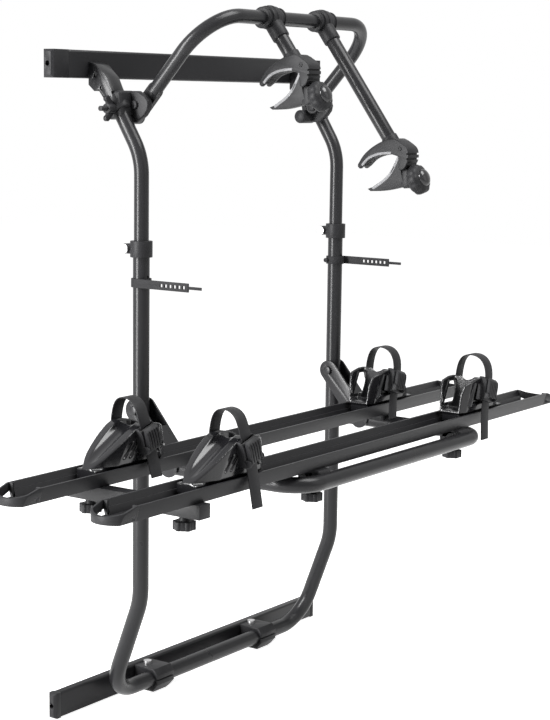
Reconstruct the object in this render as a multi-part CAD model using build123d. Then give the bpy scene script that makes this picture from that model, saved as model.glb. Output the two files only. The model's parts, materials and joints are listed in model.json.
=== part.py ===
from build123d import *
import math
import os

# Rear door bicycle carrier for two bicycles, in millimetres.
# X runs along the wheel rails, +Y points at the vehicle's door and +Z is up.
# The origin is the middle of the lower beam's door-side face.

# Clearances
SLIDE_FIT = 0.1
PIVOT_FIT = 0.05
MOVING_GAP = 0.3

# Lower frame: one bent tube with two uprights and a foot crossing
UPRIGHT_X = 281
UPRIGHT_Y = -120
LOWER_TUBE_D = 27
LOWER_TUBE_WALL = 1.4
LOWER_TUBE_TOP = 768
KNEE_Z = 177
KNEE_RADIUS = 120
FOOT_Y = -53
FOOT_Z = 1
FOOT_RADIUS = 60
INDEX_HOLE_D = 6
INDEX_HOLE_Z = 712

# Split clamp collars at the top of the lower tubes
COLLAR_D = 36
COLLAR_HEIGHT = 26
COLLAR_LIP = 2
COLLAR_SLIT = 3
EAR_REACH = 32
EAR_WIDTH = 20
EAR_HEIGHT = 16

# Retaining straps round the uprights
KEEPER_Z = 703
KEEPER_BAND = 3
KEEPER_HEIGHT = 14
KEEPER_LENGTH = 108
KEEPER_TIP = 26
KEEPER_WINDOW = 5
KEEPER_PITCH = 9
KEEPER_COUNT = 6
PEG_D = 8

# Lower beam and its rubber strip
BEAM_HALF = 380
BEAM_HEIGHT = 43.4
BEAM_DEPTH = 17
BEAM_CORNER = 4
BEAM_WALL = 2
RUBBER_HALF = 352
RUBBER_HEIGHT = 32
RUBBER_THICKNESS = 3
CAP_LENGTH = 14
CAP_PLUG = 18
CAP_BEVEL = 4
CAP_BORE_D = 8.5

# Clamps between the lower beam and the foot crossing
BEAM_CLAMP_X = 153
BEAM_CLAMP_LENGTH = 46
BEAM_CLAMP_TOP = 5
BEAM_CLAMP_BOTTOM = 11
BEAM_CLAMP_FRONT = 4
BEAM_CLAMP_SLIT = 2
CLAMP_SCREW_D = 8
CLAMP_SCREW_HEAD_D = 14
CLAMP_SCREW_HEAD = 5

# Upper frame: telescoping tubes and the top bar
UPPER_TUBE_WALL = 1.5
UPPER_TUBE_BOTTOM = 600
SHOULDER_Z = 903
SHOULDER_RADIUS = 100
UPPER_TUBE_END_Y = -50
UPPER_TUBE_END_Z = 1016
TOP_BAR_Z = 1048.25
TOP_BAR_HEIGHT = 44.5
TOP_BAR_DEPTH = 22
TOP_BAR_LEFT = 381
TOP_BAR_RIGHT = 370
TOP_CAP_LENGTH = 38

# Brackets that carry the top bar on the upper tubes
BRACKET_PLATE = 3
BRACKET_HOLE_D = 7
BRACKET_CHEEK_GAP = 0.3
BRACKET_HEAD_LOW = 1006

# Knuckles that carry the hoop
KNUCKLE_INNER = 25
HOOP_PIVOT_Y = -93
HOOP_PIVOT_Z = 985
HOOP_PIN_D = 10
HOOP_CAP_D = 22
HOOP_CAP = 10

# Hoop
HOOP_LEG_X = 241
HOOP_TUBE_D = 23
HOOP_TUBE_WALL = 1.5
HOOP_LEAN = 42.5
HOOP_REACH = 193
HOOP_RADIUS = 80
HOOP_EYE_D = 26
HOOP_EYE_THICKNESS = 9
HOOP_EYE_LENGTH = 30

# Wing nuts that lock the knuckles
LOCK_Y = -72.9
LOCK_Z = 979
LOCK_BOLT_D = 8
LOCK_HUB_D = 16
LOCK_HUB = 18
LOCK_SPAN = 40
LOCK_WING = 6
LOCK_TIP = 15

# Arms
ARM_SHORT_X = -80
ARM_LONG_X = 70
ARM_SHORT_LENGTH = 100.8
ARM_LONG_LENGTH = 266.2
ARM_TUBE_D = 21
ARM_TUBE_WALL = 2
ARM_LEAN = 36.1
LINER_BODY = 3
LINER_FLANGE = 3
LINER_FLANGE_HEIGHT = 4.5
ARM_CLAMP_LENGTH = 44
ARM_CLAMP_WALL = 6
ARM_SOCKET = 26
ARM_SOCKET_WALL = 5

# Claws, drawn about the jaw hinge with the opening towards the door
CLAW_WIDTH = 34
JAW_WIDTH = 24
JAW_PIN_D = 6
JAW_BARREL_D = 18
JAW_SWEEP_D = 27
PAD_SWEEP_D = 31
PAD_THICKNESS = 4
PAD_WIDTH = 28
CLAW_NECK_D = 29
CLAW_NECK_START = 12
CLAW_NECK_END = 36
CLAW_KNOB_D = 47
CLAW_KNOB_FLANGE = 5
CLAW_KNOB_DOME = 17
CLAW_KNOB_TILT = 20
CLAW_KNOB_Y = -18.6
CLAW_KNOB_Z = -56.6
CLAW_LUG = 7
CLAW_LUG_WIDTH = 20
SPINDLE_D = 8
SPINDLE_REACH = 12

# Platform tube
PLATFORM_TUBE_D = 26
PLATFORM_TUBE_WALL = 1.5
PLATFORM_Z = 410.5
PLATFORM_FRONT_Y = -439
PLATFORM_LEG_END_Y = -150
PLATFORM_BEND = 140
LEG_PLUG_WALL = 3

# Struts that hinge the platform on the uprights
PIVOT_Z = 497
PIVOT_BOLT_D = 8
PIVOT_HEAD_D = 15
PIVOT_HEAD = 5
STRUT_END_Y = -190
STRUT_END_Z = 414
STRUT_WIDTH = 36
STRUT_PLATE = 3
STRUT_GAP = 14.3
STRUT_WEB_START = 46
STRUT_WEB_END = 98
STRUT_PAD_D = 22

# Wheel rails
RAIL_LEFT = -709
RAIL_RIGHT = 581
RAIL_INNER_Y = -227
RAIL_OUTER_Y = -404
RAIL_BOTTOM = 429.2
RAIL_HEIGHT = 22.8
RAIL_TOP_HALF = 33
RAIL_BOTTOM_HALF = 26
RAIL_RIM = 4.5
RAIL_FLOOR = 2.5
RAIL_LEDGE_HEIGHT = 13
RAIL_LEDGE = 2.5
RAIL_CAP_LENGTH = 45
RAIL_CAP_WALL = 3.5
RAIL_CAP_TIP = 11

# Crossbar under the rails' long ends
CROSSBAR_X = -526
CROSSBAR_WIDTH = 25
CROSSBAR_HEIGHT = 21
CROSSBAR_WALL = 2
CROSSBAR_INNER_Y = -190
CROSSBAR_OUTER_Y = -441
CROSSBAR_PLUG = 5

# Rail fixings
TUBE_KNOB_X = 219
TUBE_KNOB_Y = -415
SADDLE_LENGTH = 32
SADDLE_WIDTH = 34
SADDLE_WRAP = 8
STUD_D = 6
NUT_SIZE = 10
NUT_HEIGHT = 5
GRIP_D = 34
GRIP_HEIGHT = 13
GRIP_LOBE_D = 9
GRIP_LOBES = 6
GRIP_STEM_D = 15
GRIP_STEM = 7

# Wheel cradles, drawn about their middle with the ramp towards -X
CRADLE_INNER_LEFT_X = -444
CRADLE_OUTER_LEFT_X = -429
CRADLE_INNER_RIGHT_X = 267
CRADLE_OUTER_RIGHT_X = 290
CRADLE_BASE_HALF = 92
CRADLE_BASE_WIDTH = 38
CRADLE_OUT = 99
CRADLE_IN = 96
CRADLE_FOOT_HALF = 26
CRADLE_TOP_HALF = 31
CRADLE_CREST = 60
CRADLE_VALLEY = 46
CRADLE_PEAK = 62
CRADLE_WALL = 4
CRADLE_FLOOR = 6
TYRE_GROOVE_D = 52
CRADLE_SLOT = 5

# Cradle straps, buckles and levers
STRAP_WIDTH = 25
STRAP_THICKNESS = 1.6
STRAP_TOP = 551
STRAP_LONG_TAIL = 406
STRAP_SHORT_TAIL = 427
STRAP_BAR_TAIL = 431
STRAP_SIDE = 36
STRAP_TAIL_SIDE = 50
BUCKLE_WIDTH = 31
BUCKLE_LOW = 20
BUCKLE_HIGH = 50
BUCKLE_WALL = 3
LEVER_PLATE = 3
LEVER_LENGTH = 34
LEVER_PIN_D = 4


# Shared shapes
def face_of(*lines):
    """A face inside a closed run of lines and curves."""
    return make_face([edge for line in lines for edge in line.edges()])


def polygon(*points):
    """A face with straight sides."""
    return make_face(Polyline(*points, close=True).edges())


def x_prism(face, x_low, x_high):
    """Extrudes an outline drawn in Y and Z along X."""
    plane = Plane(origin=(x_low, 0, 0), x_dir=(0, 1, 0), z_dir=(1, 0, 0))
    return extrude(plane * face, x_high - x_low)


def y_prism(face, y_low, y_high):
    """Extrudes an outline drawn in X and Z along Y."""
    plane = Plane(origin=(0, y_high, 0), x_dir=(1, 0, 0), z_dir=(0, -1, 0))
    return extrude(plane * face, y_high - y_low)


def z_prism(face, z_low, z_high):
    """Extrudes an outline drawn in X and Y along Z."""
    return extrude(Plane(origin=(0, 0, z_low)) * face, z_high - z_low)


def x_rod(diameter, x_low, x_high, y, z):
    """A cylinder along X."""
    return x_prism(Pos(y, z) * Circle(diameter / 2), x_low, x_high)


def z_rod(diameter, z_low, z_high, x, y):
    """A cylinder along Z."""
    return z_prism(Pos(x, y) * Circle(diameter / 2), z_low, z_high)


def rod(start, end, diameter):
    """A cylinder between two points."""
    run = Vector(*end) - Vector(*start)
    return extrude(Plane(origin=start, z_dir=run) * Circle(diameter / 2), run.length)


def pipe(points, radii, diameter, wall=0):
    """A bent tube, or a bent bar where no wall is given."""
    path = FilletPolyline(*points, radius=radii)
    section = Circle(diameter / 2)
    if wall:
        section = section - Circle(diameter / 2 - wall)
    return sweep(Plane(origin=path @ 0, z_dir=path % 0) * section, path=path)


def capsule(y1, z1, y2, z2, width):
    """A slot-shaped outline round two centres."""
    line = Line((y1, z1), (y2, z2))
    return SlotCenterToCenter(line.length, width).moved(
        Pos((y1 + y2) / 2, (z1 + z2) / 2) * Rot(0, 0, math.degrees(math.atan2(z2 - z1, y2 - y1))))


def flipped(shape):
    """The same piece on the other side of the carrier."""
    return mirror(shape, about=Plane.YZ)


def both_sides(shape):
    """A piece and its mirror image."""
    return [shape, flipped(shape)]


def save(name, *shapes):
    """Writes one sub-part, which may have several solids."""
    solids = [solid for shape in shapes for solid in shape.solids()]
    export_step(solids[0] if len(solids) == 1 else Compound(solids), f"parts/{name}.step")


# Lower frame
def frame_bar(diameter, wall=0):
    """The bent tube of the lower frame, as a tube or as a full bar."""
    points = [
        (-UPRIGHT_X, UPRIGHT_Y, LOWER_TUBE_TOP),
        (-UPRIGHT_X, UPRIGHT_Y, KNEE_Z),
        (-UPRIGHT_X, FOOT_Y, FOOT_Z),
        (UPRIGHT_X, FOOT_Y, FOOT_Z),
        (UPRIGHT_X, UPRIGHT_Y, KNEE_Z),
        (UPRIGHT_X, UPRIGHT_Y, LOWER_TUBE_TOP),
    ]
    return pipe(points, [KNEE_RADIUS, FOOT_RADIUS, FOOT_RADIUS, KNEE_RADIUS], diameter, wall)


def lower_frame():
    """Two uprights and the foot crossing, with the pivot and index holes."""
    tube = frame_bar(LOWER_TUBE_D, LOWER_TUBE_WALL)
    for side in (-1, 1):
        middle = side * UPRIGHT_X
        tube -= x_rod(PIVOT_BOLT_D, middle - LOWER_TUBE_D, middle + LOWER_TUBE_D, UPRIGHT_Y, PIVOT_Z)
        front = (middle, UPRIGHT_Y - LOWER_TUBE_D, INDEX_HOLE_Z)
        tube -= rod(front, (middle, UPRIGHT_Y, INDEX_HOLE_Z), INDEX_HOLE_D)
    return tube


def clamp_collar():
    """Left split collar, with two ears towards the door."""
    low = LOWER_TUBE_TOP + COLLAR_LIP - COLLAR_HEIGHT
    high = LOWER_TUBE_TOP + COLLAR_LIP
    ring = z_rod(COLLAR_D, low, high, -UPRIGHT_X, UPRIGHT_Y)
    ear_middle = low + COLLAR_HEIGHT / 2
    ear_end = UPRIGHT_Y + EAR_REACH
    ears = Pos(-UPRIGHT_X, (UPRIGHT_Y + ear_end) / 2, ear_middle) * Box(EAR_WIDTH, EAR_REACH, EAR_HEIGHT)
    ears = fillet(ears.edges().filter_by(Axis.X).group_by(Axis.Y)[-1], EAR_HEIGHT / 2 - 1)
    ring += ears
    slit = Pos(-UPRIGHT_X, UPRIGHT_Y + EAR_REACH / 2, ear_middle)
    ring -= slit * Box(COLLAR_SLIT, EAR_REACH + 2, COLLAR_HEIGHT + 2)
    ring -= z_rod(LOWER_TUBE_D, low, LOWER_TUBE_TOP, -UPRIGHT_X, UPRIGHT_Y)
    ring -= z_rod(upper_tube_d() + 2 * SLIDE_FIT, low, high, -UPRIGHT_X, UPRIGHT_Y)
    y, z = collar_bolt_place()
    return ring - x_rod(CLAMP_SCREW_D, -UPRIGHT_X - COLLAR_D, -UPRIGHT_X + COLLAR_D, y, z)


def collar_bolt_place():
    """Where the collar's bolt crosses the ears, in Y and Z."""
    return UPRIGHT_Y + EAR_REACH - EAR_HEIGHT / 2, LOWER_TUBE_TOP + COLLAR_LIP - COLLAR_HEIGHT / 2


def collar_bolt():
    """Left collar bolt with its head on the outer side."""
    y, z = collar_bolt_place()
    outer = -UPRIGHT_X - EAR_WIDTH / 2
    inner = -UPRIGHT_X + EAR_WIDTH / 2
    bolt = x_rod(CLAMP_SCREW_D, outer, inner, y, z)
    bolt += x_rod(CLAMP_SCREW_HEAD_D, outer - CLAMP_SCREW_HEAD, outer, y, z)
    return bolt + x_rod(CLAMP_SCREW_HEAD_D, inner, inner + CLAMP_SCREW_HEAD, y, z)


def retaining_strap():
    """Left ladder strap: a band round the upright, a peg and an outboard tail with windows."""
    low = KEEPER_Z - KEEPER_HEIGHT / 2
    high = KEEPER_Z + KEEPER_HEIGHT / 2
    band_d = LOWER_TUBE_D + 2 * KEEPER_BAND
    outer = -UPRIGHT_X - band_d / 2
    front = UPRIGHT_Y - KEEPER_LENGTH
    band = z_rod(band_d, low, high, -UPRIGHT_X, UPRIGHT_Y)
    tail = Pos(outer + KEEPER_BAND / 2, (front + UPRIGHT_Y) / 2, KEEPER_Z)
    band += tail * Box(KEEPER_BAND, KEEPER_LENGTH, KEEPER_HEIGHT)
    tip = Pos(outer + KEEPER_BAND / 2, front - KEEPER_TIP / 2, KEEPER_Z)
    band += tip * Box(KEEPER_BAND / 2, KEEPER_TIP, KEEPER_HEIGHT / 3)
    for step in range(KEEPER_COUNT):
        y = front + KEEPER_PITCH * (step + 1)
        window = Pos(outer, y, KEEPER_Z) * Box(4 * KEEPER_BAND, KEEPER_WINDOW, KEEPER_WINDOW)
        band -= window
    band += x_rod(PEG_D, -UPRIGHT_X, -UPRIGHT_X + band_d / 2 + PEG_D / 2, UPRIGHT_Y + PEG_D, KEEPER_Z)
    return band - z_rod(LOWER_TUBE_D, low, high, -UPRIGHT_X, UPRIGHT_Y)


# Lower beam
def box_section(depth, height, wall):
    """Hollow section of a beam, drawn in Y and Z with its back at Y = 0."""
    outer = RectangleRounded(depth, height, BEAM_CORNER)
    inner = RectangleRounded(depth - 2 * wall, height - 2 * wall, BEAM_CORNER - wall)
    return Pos(-depth / 2, 0) * (outer - inner)


def door_beam():
    """Lower beam, an extruded box section."""
    half = BEAM_HALF - CAP_LENGTH
    section = Pos(-RUBBER_THICKNESS, 0) * box_section(BEAM_DEPTH, BEAM_HEIGHT, BEAM_WALL)
    return x_prism(section, -half, half)


def beam_cap(depth, height, length, end_x, middle_z, back_y):
    """Left end cap of a beam: a bevelled head, a plug and a bore along the beam."""
    head = Pos(end_x + length / 2, back_y - depth / 2, middle_z) * Box(length, depth, height)
    head = chamfer(head.faces().sort_by(Axis.X)[0].edges(), CAP_BEVEL)
    inside = 2 * BEAM_WALL + 2 * SLIDE_FIT
    plug = Pos(back_y - depth / 2, middle_z) * RectangleRounded(depth - inside, height - inside, BEAM_CORNER - BEAM_WALL)
    head += x_prism(plug, end_x + length, end_x + length + CAP_PLUG)
    return head - x_rod(CAP_BORE_D, end_x, end_x + length + CAP_PLUG, back_y - depth / 2, middle_z)


def door_beam_cap():
    """Left end cap of the lower beam."""
    return beam_cap(BEAM_DEPTH, BEAM_HEIGHT, CAP_LENGTH, -BEAM_HALF, 0, -RUBBER_THICKNESS)


def beam_rubber():
    """Rubber strip that bears on the door."""
    strip = y_prism(Rectangle(2 * RUBBER_HALF, RUBBER_HEIGHT), -RUBBER_THICKNESS, 0)
    edges = strip.edges().filter_by(Axis.X).group_by(Axis.Y)[-1]
    return chamfer(edges, RUBBER_THICKNESS / 2)


def clamp_levels():
    """Bottom and top of the beam clamps."""
    radius = LOWER_TUBE_D / 2
    return FOOT_Z - radius - BEAM_CLAMP_BOTTOM, FOOT_Z + radius + BEAM_CLAMP_TOP


def clamp_screw_y():
    """The clamp screws stand between the beam and the foot crossing."""
    beam_front = -RUBBER_THICKNESS - BEAM_DEPTH
    return (beam_front + FOOT_Y + LOWER_TUBE_D / 2) / 2


def beam_clamp():
    """Left pinch clamp that holds the beam on the foot crossing."""
    low, high = clamp_levels()
    back = -RUBBER_THICKNESS - BEAM_DEPTH
    front = FOOT_Y - LOWER_TUBE_D / 2 - BEAM_CLAMP_FRONT
    side = polygon((back, low), (back, high), (front + 8, high), (front, high - 10),
                   (front, low + 16), (front + 14, low))
    left = -BEAM_CLAMP_X - BEAM_CLAMP_LENGTH / 2
    right = -BEAM_CLAMP_X + BEAM_CLAMP_LENGTH / 2
    block = x_prism(side, left, right)
    block = fillet(block.edges().filter_by(Axis.Y).group_by(Axis.Z)[0], 8)
    block -= x_rod(LOWER_TUBE_D, left, right, FOOT_Y, FOOT_Z)
    slit = Pos(-BEAM_CLAMP_X, (front + FOOT_Y) / 2, FOOT_Z)
    block -= slit * Box(BEAM_CLAMP_LENGTH, FOOT_Y - front, BEAM_CLAMP_SLIT)
    return block - z_rod(CLAMP_SCREW_D, low, high, -BEAM_CLAMP_X, clamp_screw_y())


def clamp_screw():
    """Left beam clamp's screw."""
    low, high = clamp_levels()
    screw = z_rod(CLAMP_SCREW_D, low, high, -BEAM_CLAMP_X, clamp_screw_y())
    return screw + z_rod(CLAMP_SCREW_HEAD_D, high, high + CLAMP_SCREW_HEAD, -BEAM_CLAMP_X, clamp_screw_y())


def pivot_bolt():
    """Left bolt that the platform strut turns on."""
    reach = STRUT_GAP + STRUT_PLATE + MOVING_GAP
    bolt = x_rod(PIVOT_BOLT_D, -UPRIGHT_X - reach, -UPRIGHT_X + reach, UPRIGHT_Y, PIVOT_Z)
    outer = -UPRIGHT_X - reach
    inner = -UPRIGHT_X + reach
    bolt += x_rod(PIVOT_HEAD_D, outer - PIVOT_HEAD, outer, UPRIGHT_Y, PIVOT_Z)
    return bolt + x_rod(PIVOT_HEAD_D, inner, inner + PIVOT_HEAD, UPRIGHT_Y, PIVOT_Z)


# Upper frame
def upper_tube_d():
    """The upper tube runs inside the lower tube."""
    return LOWER_TUBE_D - 2 * LOWER_TUBE_WALL - 2 * SLIDE_FIT


def upper_bar(wall=0):
    """Left upper tube, as a tube or as a full bar."""
    points = [
        (-UPRIGHT_X, UPRIGHT_Y, UPPER_TUBE_BOTTOM),
        (-UPRIGHT_X, UPRIGHT_Y, SHOULDER_Z),
        (-UPRIGHT_X, UPPER_TUBE_END_Y, UPPER_TUBE_END_Z),
    ]
    return pipe(points, SHOULDER_RADIUS, upper_tube_d(), wall)


def upper_tube():
    """Left upper tube with the lock bolt's hole."""
    tube = upper_bar(UPPER_TUBE_WALL)
    outer = -UPRIGHT_X - upper_tube_d()
    inner = -UPRIGHT_X + upper_tube_d()
    return tube - x_rod(LOCK_BOLT_D + 2 * PIVOT_FIT, outer, inner, LOCK_Y, LOCK_Z)


def top_bar():
    """Top bar, an extruded box section along the door's upper edge."""
    section = Pos(0, TOP_BAR_Z) * box_section(TOP_BAR_DEPTH, TOP_BAR_HEIGHT, BEAM_WALL)
    return x_prism(section, -TOP_BAR_LEFT + TOP_CAP_LENGTH, TOP_BAR_RIGHT - TOP_CAP_LENGTH)


def top_bar_caps():
    """Moulded end caps of the top bar."""
    left = beam_cap(TOP_BAR_DEPTH, TOP_BAR_HEIGHT, TOP_CAP_LENGTH, -TOP_BAR_LEFT, TOP_BAR_Z, 0)
    right = beam_cap(TOP_BAR_DEPTH, TOP_BAR_HEIGHT, TOP_CAP_LENGTH, -TOP_BAR_RIGHT, TOP_BAR_Z, 0)
    return [left, flipped(right)]


def cheek_inner():
    """How far the inner face of the bracket's outer cheek lies from the tube's axis."""
    return upper_tube_d() / 2 + BRACKET_CHEEK_GAP


def cheek_outer():
    """How far the bracket's outer face lies from the tube's axis."""
    return cheek_inner() + BRACKET_PLATE


def hanger_bracket():
    """Left bracket: a head round the upper tube's end, and an outer cheek that reaches down the tube."""
    front = -TOP_BAR_DEPTH
    outer = -UPRIGHT_X - cheek_outer()
    head_side = polygon((front, TOP_BAR_Z + 4), (front, BRACKET_HEAD_LOW + 10), (-34, BRACKET_HEAD_LOW),
                        (-71, BRACKET_HEAD_LOW), (-60, 1028), (-38, 1048))
    cheek_side = face_of(
        Polyline((-58, 1028), (-38, 1048), (front, TOP_BAR_Z), (front, 1022), (-38, 1014), (-56, 992)),
        ThreePointArc((-56, 992), (-67, 990), (-72, 1000)),
        Line((-72, 1000), (-58, 1028)))
    block = x_prism(head_side, outer, -UPRIGHT_X + cheek_outer())
    block += x_prism(cheek_side, outer, -UPRIGHT_X - cheek_inner())
    block -= upper_bar()
    for y, z in ((-36.6, 1031), (-49, 1011)):
        block -= x_rod(BRACKET_HOLE_D, outer, -UPRIGHT_X - cheek_inner(), y, z)
    return block


def knuckle_side():
    """Side view of the knuckle that carries the hoop."""
    return face_of(Polyline((-57, 1004), (-98, 1004), (-112, 998)),
                   ThreePointArc((-112, 998), (-121, 984), (-112, 966)),
                   Polyline((-112, 966), (-96, 956), (-74, 970), (-57, 1004)))


def hoop_knuckle():
    """Left knuckle: a block clamped round the upper tube with a boss for the hoop's pin."""
    inner = -UPRIGHT_X + KNUCKLE_INNER
    block = x_prism(knuckle_side(), -UPRIGHT_X - cheek_inner(), inner)
    block -= upper_bar()
    boss_end = -HOOP_LEG_X - HOOP_EYE_THICKNESS / 2 - MOVING_GAP
    block += x_rod(HOOP_CAP_D, inner, boss_end, HOOP_PIVOT_Y, HOOP_PIVOT_Z)
    return block - x_rod(LOCK_BOLT_D + 2 * PIVOT_FIT, -UPRIGHT_X - cheek_inner(), inner, LOCK_Y, LOCK_Z)


def hoop_pin():
    """Left pin that the hoop turns on, with a domed cap."""
    start = -HOOP_LEG_X - HOOP_EYE_THICKNESS / 2 - MOVING_GAP
    end = -HOOP_LEG_X + HOOP_EYE_THICKNESS / 2 + MOVING_GAP
    pin = x_rod(HOOP_PIN_D, start, end, HOOP_PIVOT_Y, HOOP_PIVOT_Z)
    cap = x_rod(HOOP_CAP_D, end, end + HOOP_CAP, HOOP_PIVOT_Y, HOOP_PIVOT_Z)
    return pin + fillet(cap.edges().group_by(Axis.X)[-1], 4)


def lock_knob():
    """Left wing nut and bolt: hub, two wings and a threaded tip."""
    face = -UPRIGHT_X - cheek_inner() - MOVING_GAP
    inner = -UPRIGHT_X + KNUCKLE_INNER
    knob = x_rod(LOCK_HUB_D, face - LOCK_HUB, face, LOCK_Y, LOCK_Z)
    knob += x_rod(LOCK_BOLT_D, face - LOCK_HUB - LOCK_TIP, inner, LOCK_Y, LOCK_Z)
    wing = face_of(Polyline((face - 3, -6), (face - 3, 6)),
                   Spline((face - 3, 6), (face - 9, 14), (face - LOCK_HUB + 2, LOCK_SPAN / 2)),
                   ThreePointArc((face - LOCK_HUB + 2, LOCK_SPAN / 2), (face - LOCK_HUB - 4, LOCK_SPAN / 2 - 4),
                                 (face - LOCK_HUB, LOCK_SPAN / 2 - 9)),
                   Spline((face - LOCK_HUB, LOCK_SPAN / 2 - 9), (face - LOCK_HUB + 3, 0),
                          (face - LOCK_HUB, 9 - LOCK_SPAN / 2)),
                   ThreePointArc((face - LOCK_HUB, 9 - LOCK_SPAN / 2), (face - LOCK_HUB - 4, 4 - LOCK_SPAN / 2),
                                 (face - LOCK_HUB + 2, -LOCK_SPAN / 2)),
                   Spline((face - LOCK_HUB + 2, -LOCK_SPAN / 2), (face - 9, -14), (face - 3, -6)))
    wings = Pos(0, 0, LOCK_Z) * y_prism(wing, LOCK_Y - LOCK_WING / 2, LOCK_Y + LOCK_WING / 2)
    return knob + wings


# Hoop
def hoop_point(x, distance):
    """A point in the hoop's leaning plane, so far from its pivot axis."""
    lean = math.radians(HOOP_LEAN)
    return x, HOOP_PIVOT_Y - distance * math.sin(lean), HOOP_PIVOT_Z + distance * math.cos(lean)


def hoop():
    """Bent hoop whose flattened ends turn on the knuckles' pins."""
    points = [hoop_point(-HOOP_LEG_X, HOOP_EYE_LENGTH), hoop_point(-HOOP_LEG_X, HOOP_REACH),
              hoop_point(HOOP_LEG_X, HOOP_REACH), hoop_point(HOOP_LEG_X, HOOP_EYE_LENGTH)]
    tube = pipe(points, HOOP_RADIUS, HOOP_TUBE_D, HOOP_TUBE_WALL)
    start = hoop_point(-HOOP_LEG_X, 0)
    end = hoop_point(-HOOP_LEG_X, HOOP_EYE_LENGTH + 2)
    tongue = capsule(start[1], start[2], end[1], end[2], HOOP_EYE_D)
    half = HOOP_EYE_THICKNESS / 2
    eye = x_prism(tongue, -HOOP_LEG_X - half, -HOOP_LEG_X + half)
    eye -= x_rod(HOOP_PIN_D + 2 * PIVOT_FIT, -HOOP_LEG_X - half, -HOOP_LEG_X + half, start[1], start[2])
    neck = Plane(origin=hoop_point(-HOOP_LEG_X, HOOP_EYE_LENGTH - 8),
                 z_dir=Vector(*end) - Vector(*start), x_dir=(1, 0, 0))
    shoulder = Plane(origin=hoop_point(-HOOP_LEG_X, HOOP_EYE_LENGTH + 2),
                     z_dir=Vector(*end) - Vector(*start), x_dir=(1, 0, 0))
    swage = loft([neck * Ellipse(half, HOOP_EYE_D / 2), shoulder * Circle(HOOP_TUBE_D / 2)])
    foot = eye + swage
    return tube + foot + flipped(foot)


# Arms
def arm_point(x, distance):
    """A point on an arm's axis, so far from the hoop's crossing."""
    lean = math.radians(ARM_LEAN)
    _, y, z = hoop_point(0, HOOP_REACH)
    return x, y - distance * math.sin(lean), z - distance * math.cos(lean)


def slide_liner(x):
    """Plastic liner that slides along the hoop's crossing, with a flange at each end."""
    _, y, z = hoop_point(0, HOOP_REACH)
    half = ARM_CLAMP_LENGTH / 2 + MOVING_GAP
    bore = HOOP_TUBE_D + 2 * SLIDE_FIT
    body = x_rod(bore + 2 * LINER_BODY, x - half, x + half, y, z)
    flange_d = bore + 2 * LINER_BODY + 2 * LINER_FLANGE_HEIGHT
    for low in (x - half - LINER_FLANGE, x + half):
        body += x_rod(flange_d, low, low + LINER_FLANGE, y, z)
    return body - x_rod(bore, x - half - LINER_FLANGE, x + half + LINER_FLANGE, y, z)


def arm_clamp(x):
    """Clamp that turns on the liner and holds the arm in a socket."""
    _, y, z = hoop_point(0, HOOP_REACH)
    bore = HOOP_TUBE_D + 4 * SLIDE_FIT + 2 * LINER_BODY
    outer = bore + 2 * ARM_CLAMP_WALL
    left = x - ARM_CLAMP_LENGTH / 2
    right = x + ARM_CLAMP_LENGTH / 2
    clamp = x_rod(outer, left, right, y, z)
    root = Plane(origin=arm_point(x, 6), z_dir=arm_axis(), x_dir=(1, 0, 0))
    mouth = Plane(origin=arm_point(x, outer / 2 + ARM_SOCKET), z_dir=arm_axis(), x_dir=(1, 0, 0))
    socket_d = ARM_TUBE_D + 2 * ARM_SOCKET_WALL
    clamp += loft([root * Rectangle(ARM_CLAMP_LENGTH, outer - 4), mouth * Rectangle(socket_d, socket_d - 2)])
    clamp -= x_rod(bore, left, right, y, z)
    return clamp - rod(arm_point(x, arm_start()), arm_point(x, outer / 2 + ARM_SOCKET), ARM_TUBE_D)


def arm_axis():
    """Unit vector from the hoop's crossing down along the arms."""
    lean = math.radians(ARM_LEAN)
    return 0, -math.sin(lean), -math.cos(lean)


def arm_start():
    """Where the arm tube begins inside its clamp."""
    return (HOOP_TUBE_D + 4 * SLIDE_FIT + 2 * LINER_BODY) / 2 + ARM_CLAMP_WALL


def arm_tube(x, length):
    """Straight arm tube between its clamp and its claw."""
    start = arm_point(x, arm_start())
    end = arm_point(x, length - CLAW_NECK_START)
    return rod(start, end, ARM_TUBE_D) - rod(start, end, ARM_TUBE_D - 2 * ARM_TUBE_WALL)


# Claws
def claw_place(x, length):
    """Moves a claw from its own axes to the end of an arm."""
    return Pos(*arm_point(x, length))


def upper_jaw_curve():
    """Inner edge of the fixed jaw from its tip to the hinge."""
    return Spline((54, -35), (44, -22), (33, -13), (20, -9), (10, -7))


def lower_jaw_curve():
    """Inner edge of the moving jaw from the hinge to its tip."""
    return Spline((10, -14), (16, -28), (24, -45), (38, -58), (57, -68))


def claw_side():
    """Side view of the claw's body with the fixed upper jaw."""
    return face_of(
        Spline((-7, 22), (8, 21), (34, 12), (63, -12), (80, -34)),
        Polyline((80, -34), (76, -41), (68, -34), (62, -35), (56, -41), (54, -35)),
        upper_jaw_curve(),
        Polyline((10, -7), (0, -14), (-1, -31), (-20, -31)),
        Spline((-20, -31), (-33, -28), (-41, -16), (-42, 2), (-36, 12), (-21, 15), (-7, 22)),
    )


def knob_axis():
    """Unit vector out of the claw's knob, away from the door."""
    tilt = math.radians(CLAW_KNOB_TILT)
    return 0, -math.cos(tilt), math.sin(tilt)


def knob_point(distance):
    """A point on the knob's axis, so far outside its flange's inner face."""
    axis = knob_axis()
    return 0, CLAW_KNOB_Y + distance * axis[1], CLAW_KNOB_Z + distance * axis[2]


def knob_plane(distance):
    """A plane across the knob's axis."""
    return Plane(origin=knob_point(distance), z_dir=knob_axis(), x_dir=(1, 0, 0))


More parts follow.
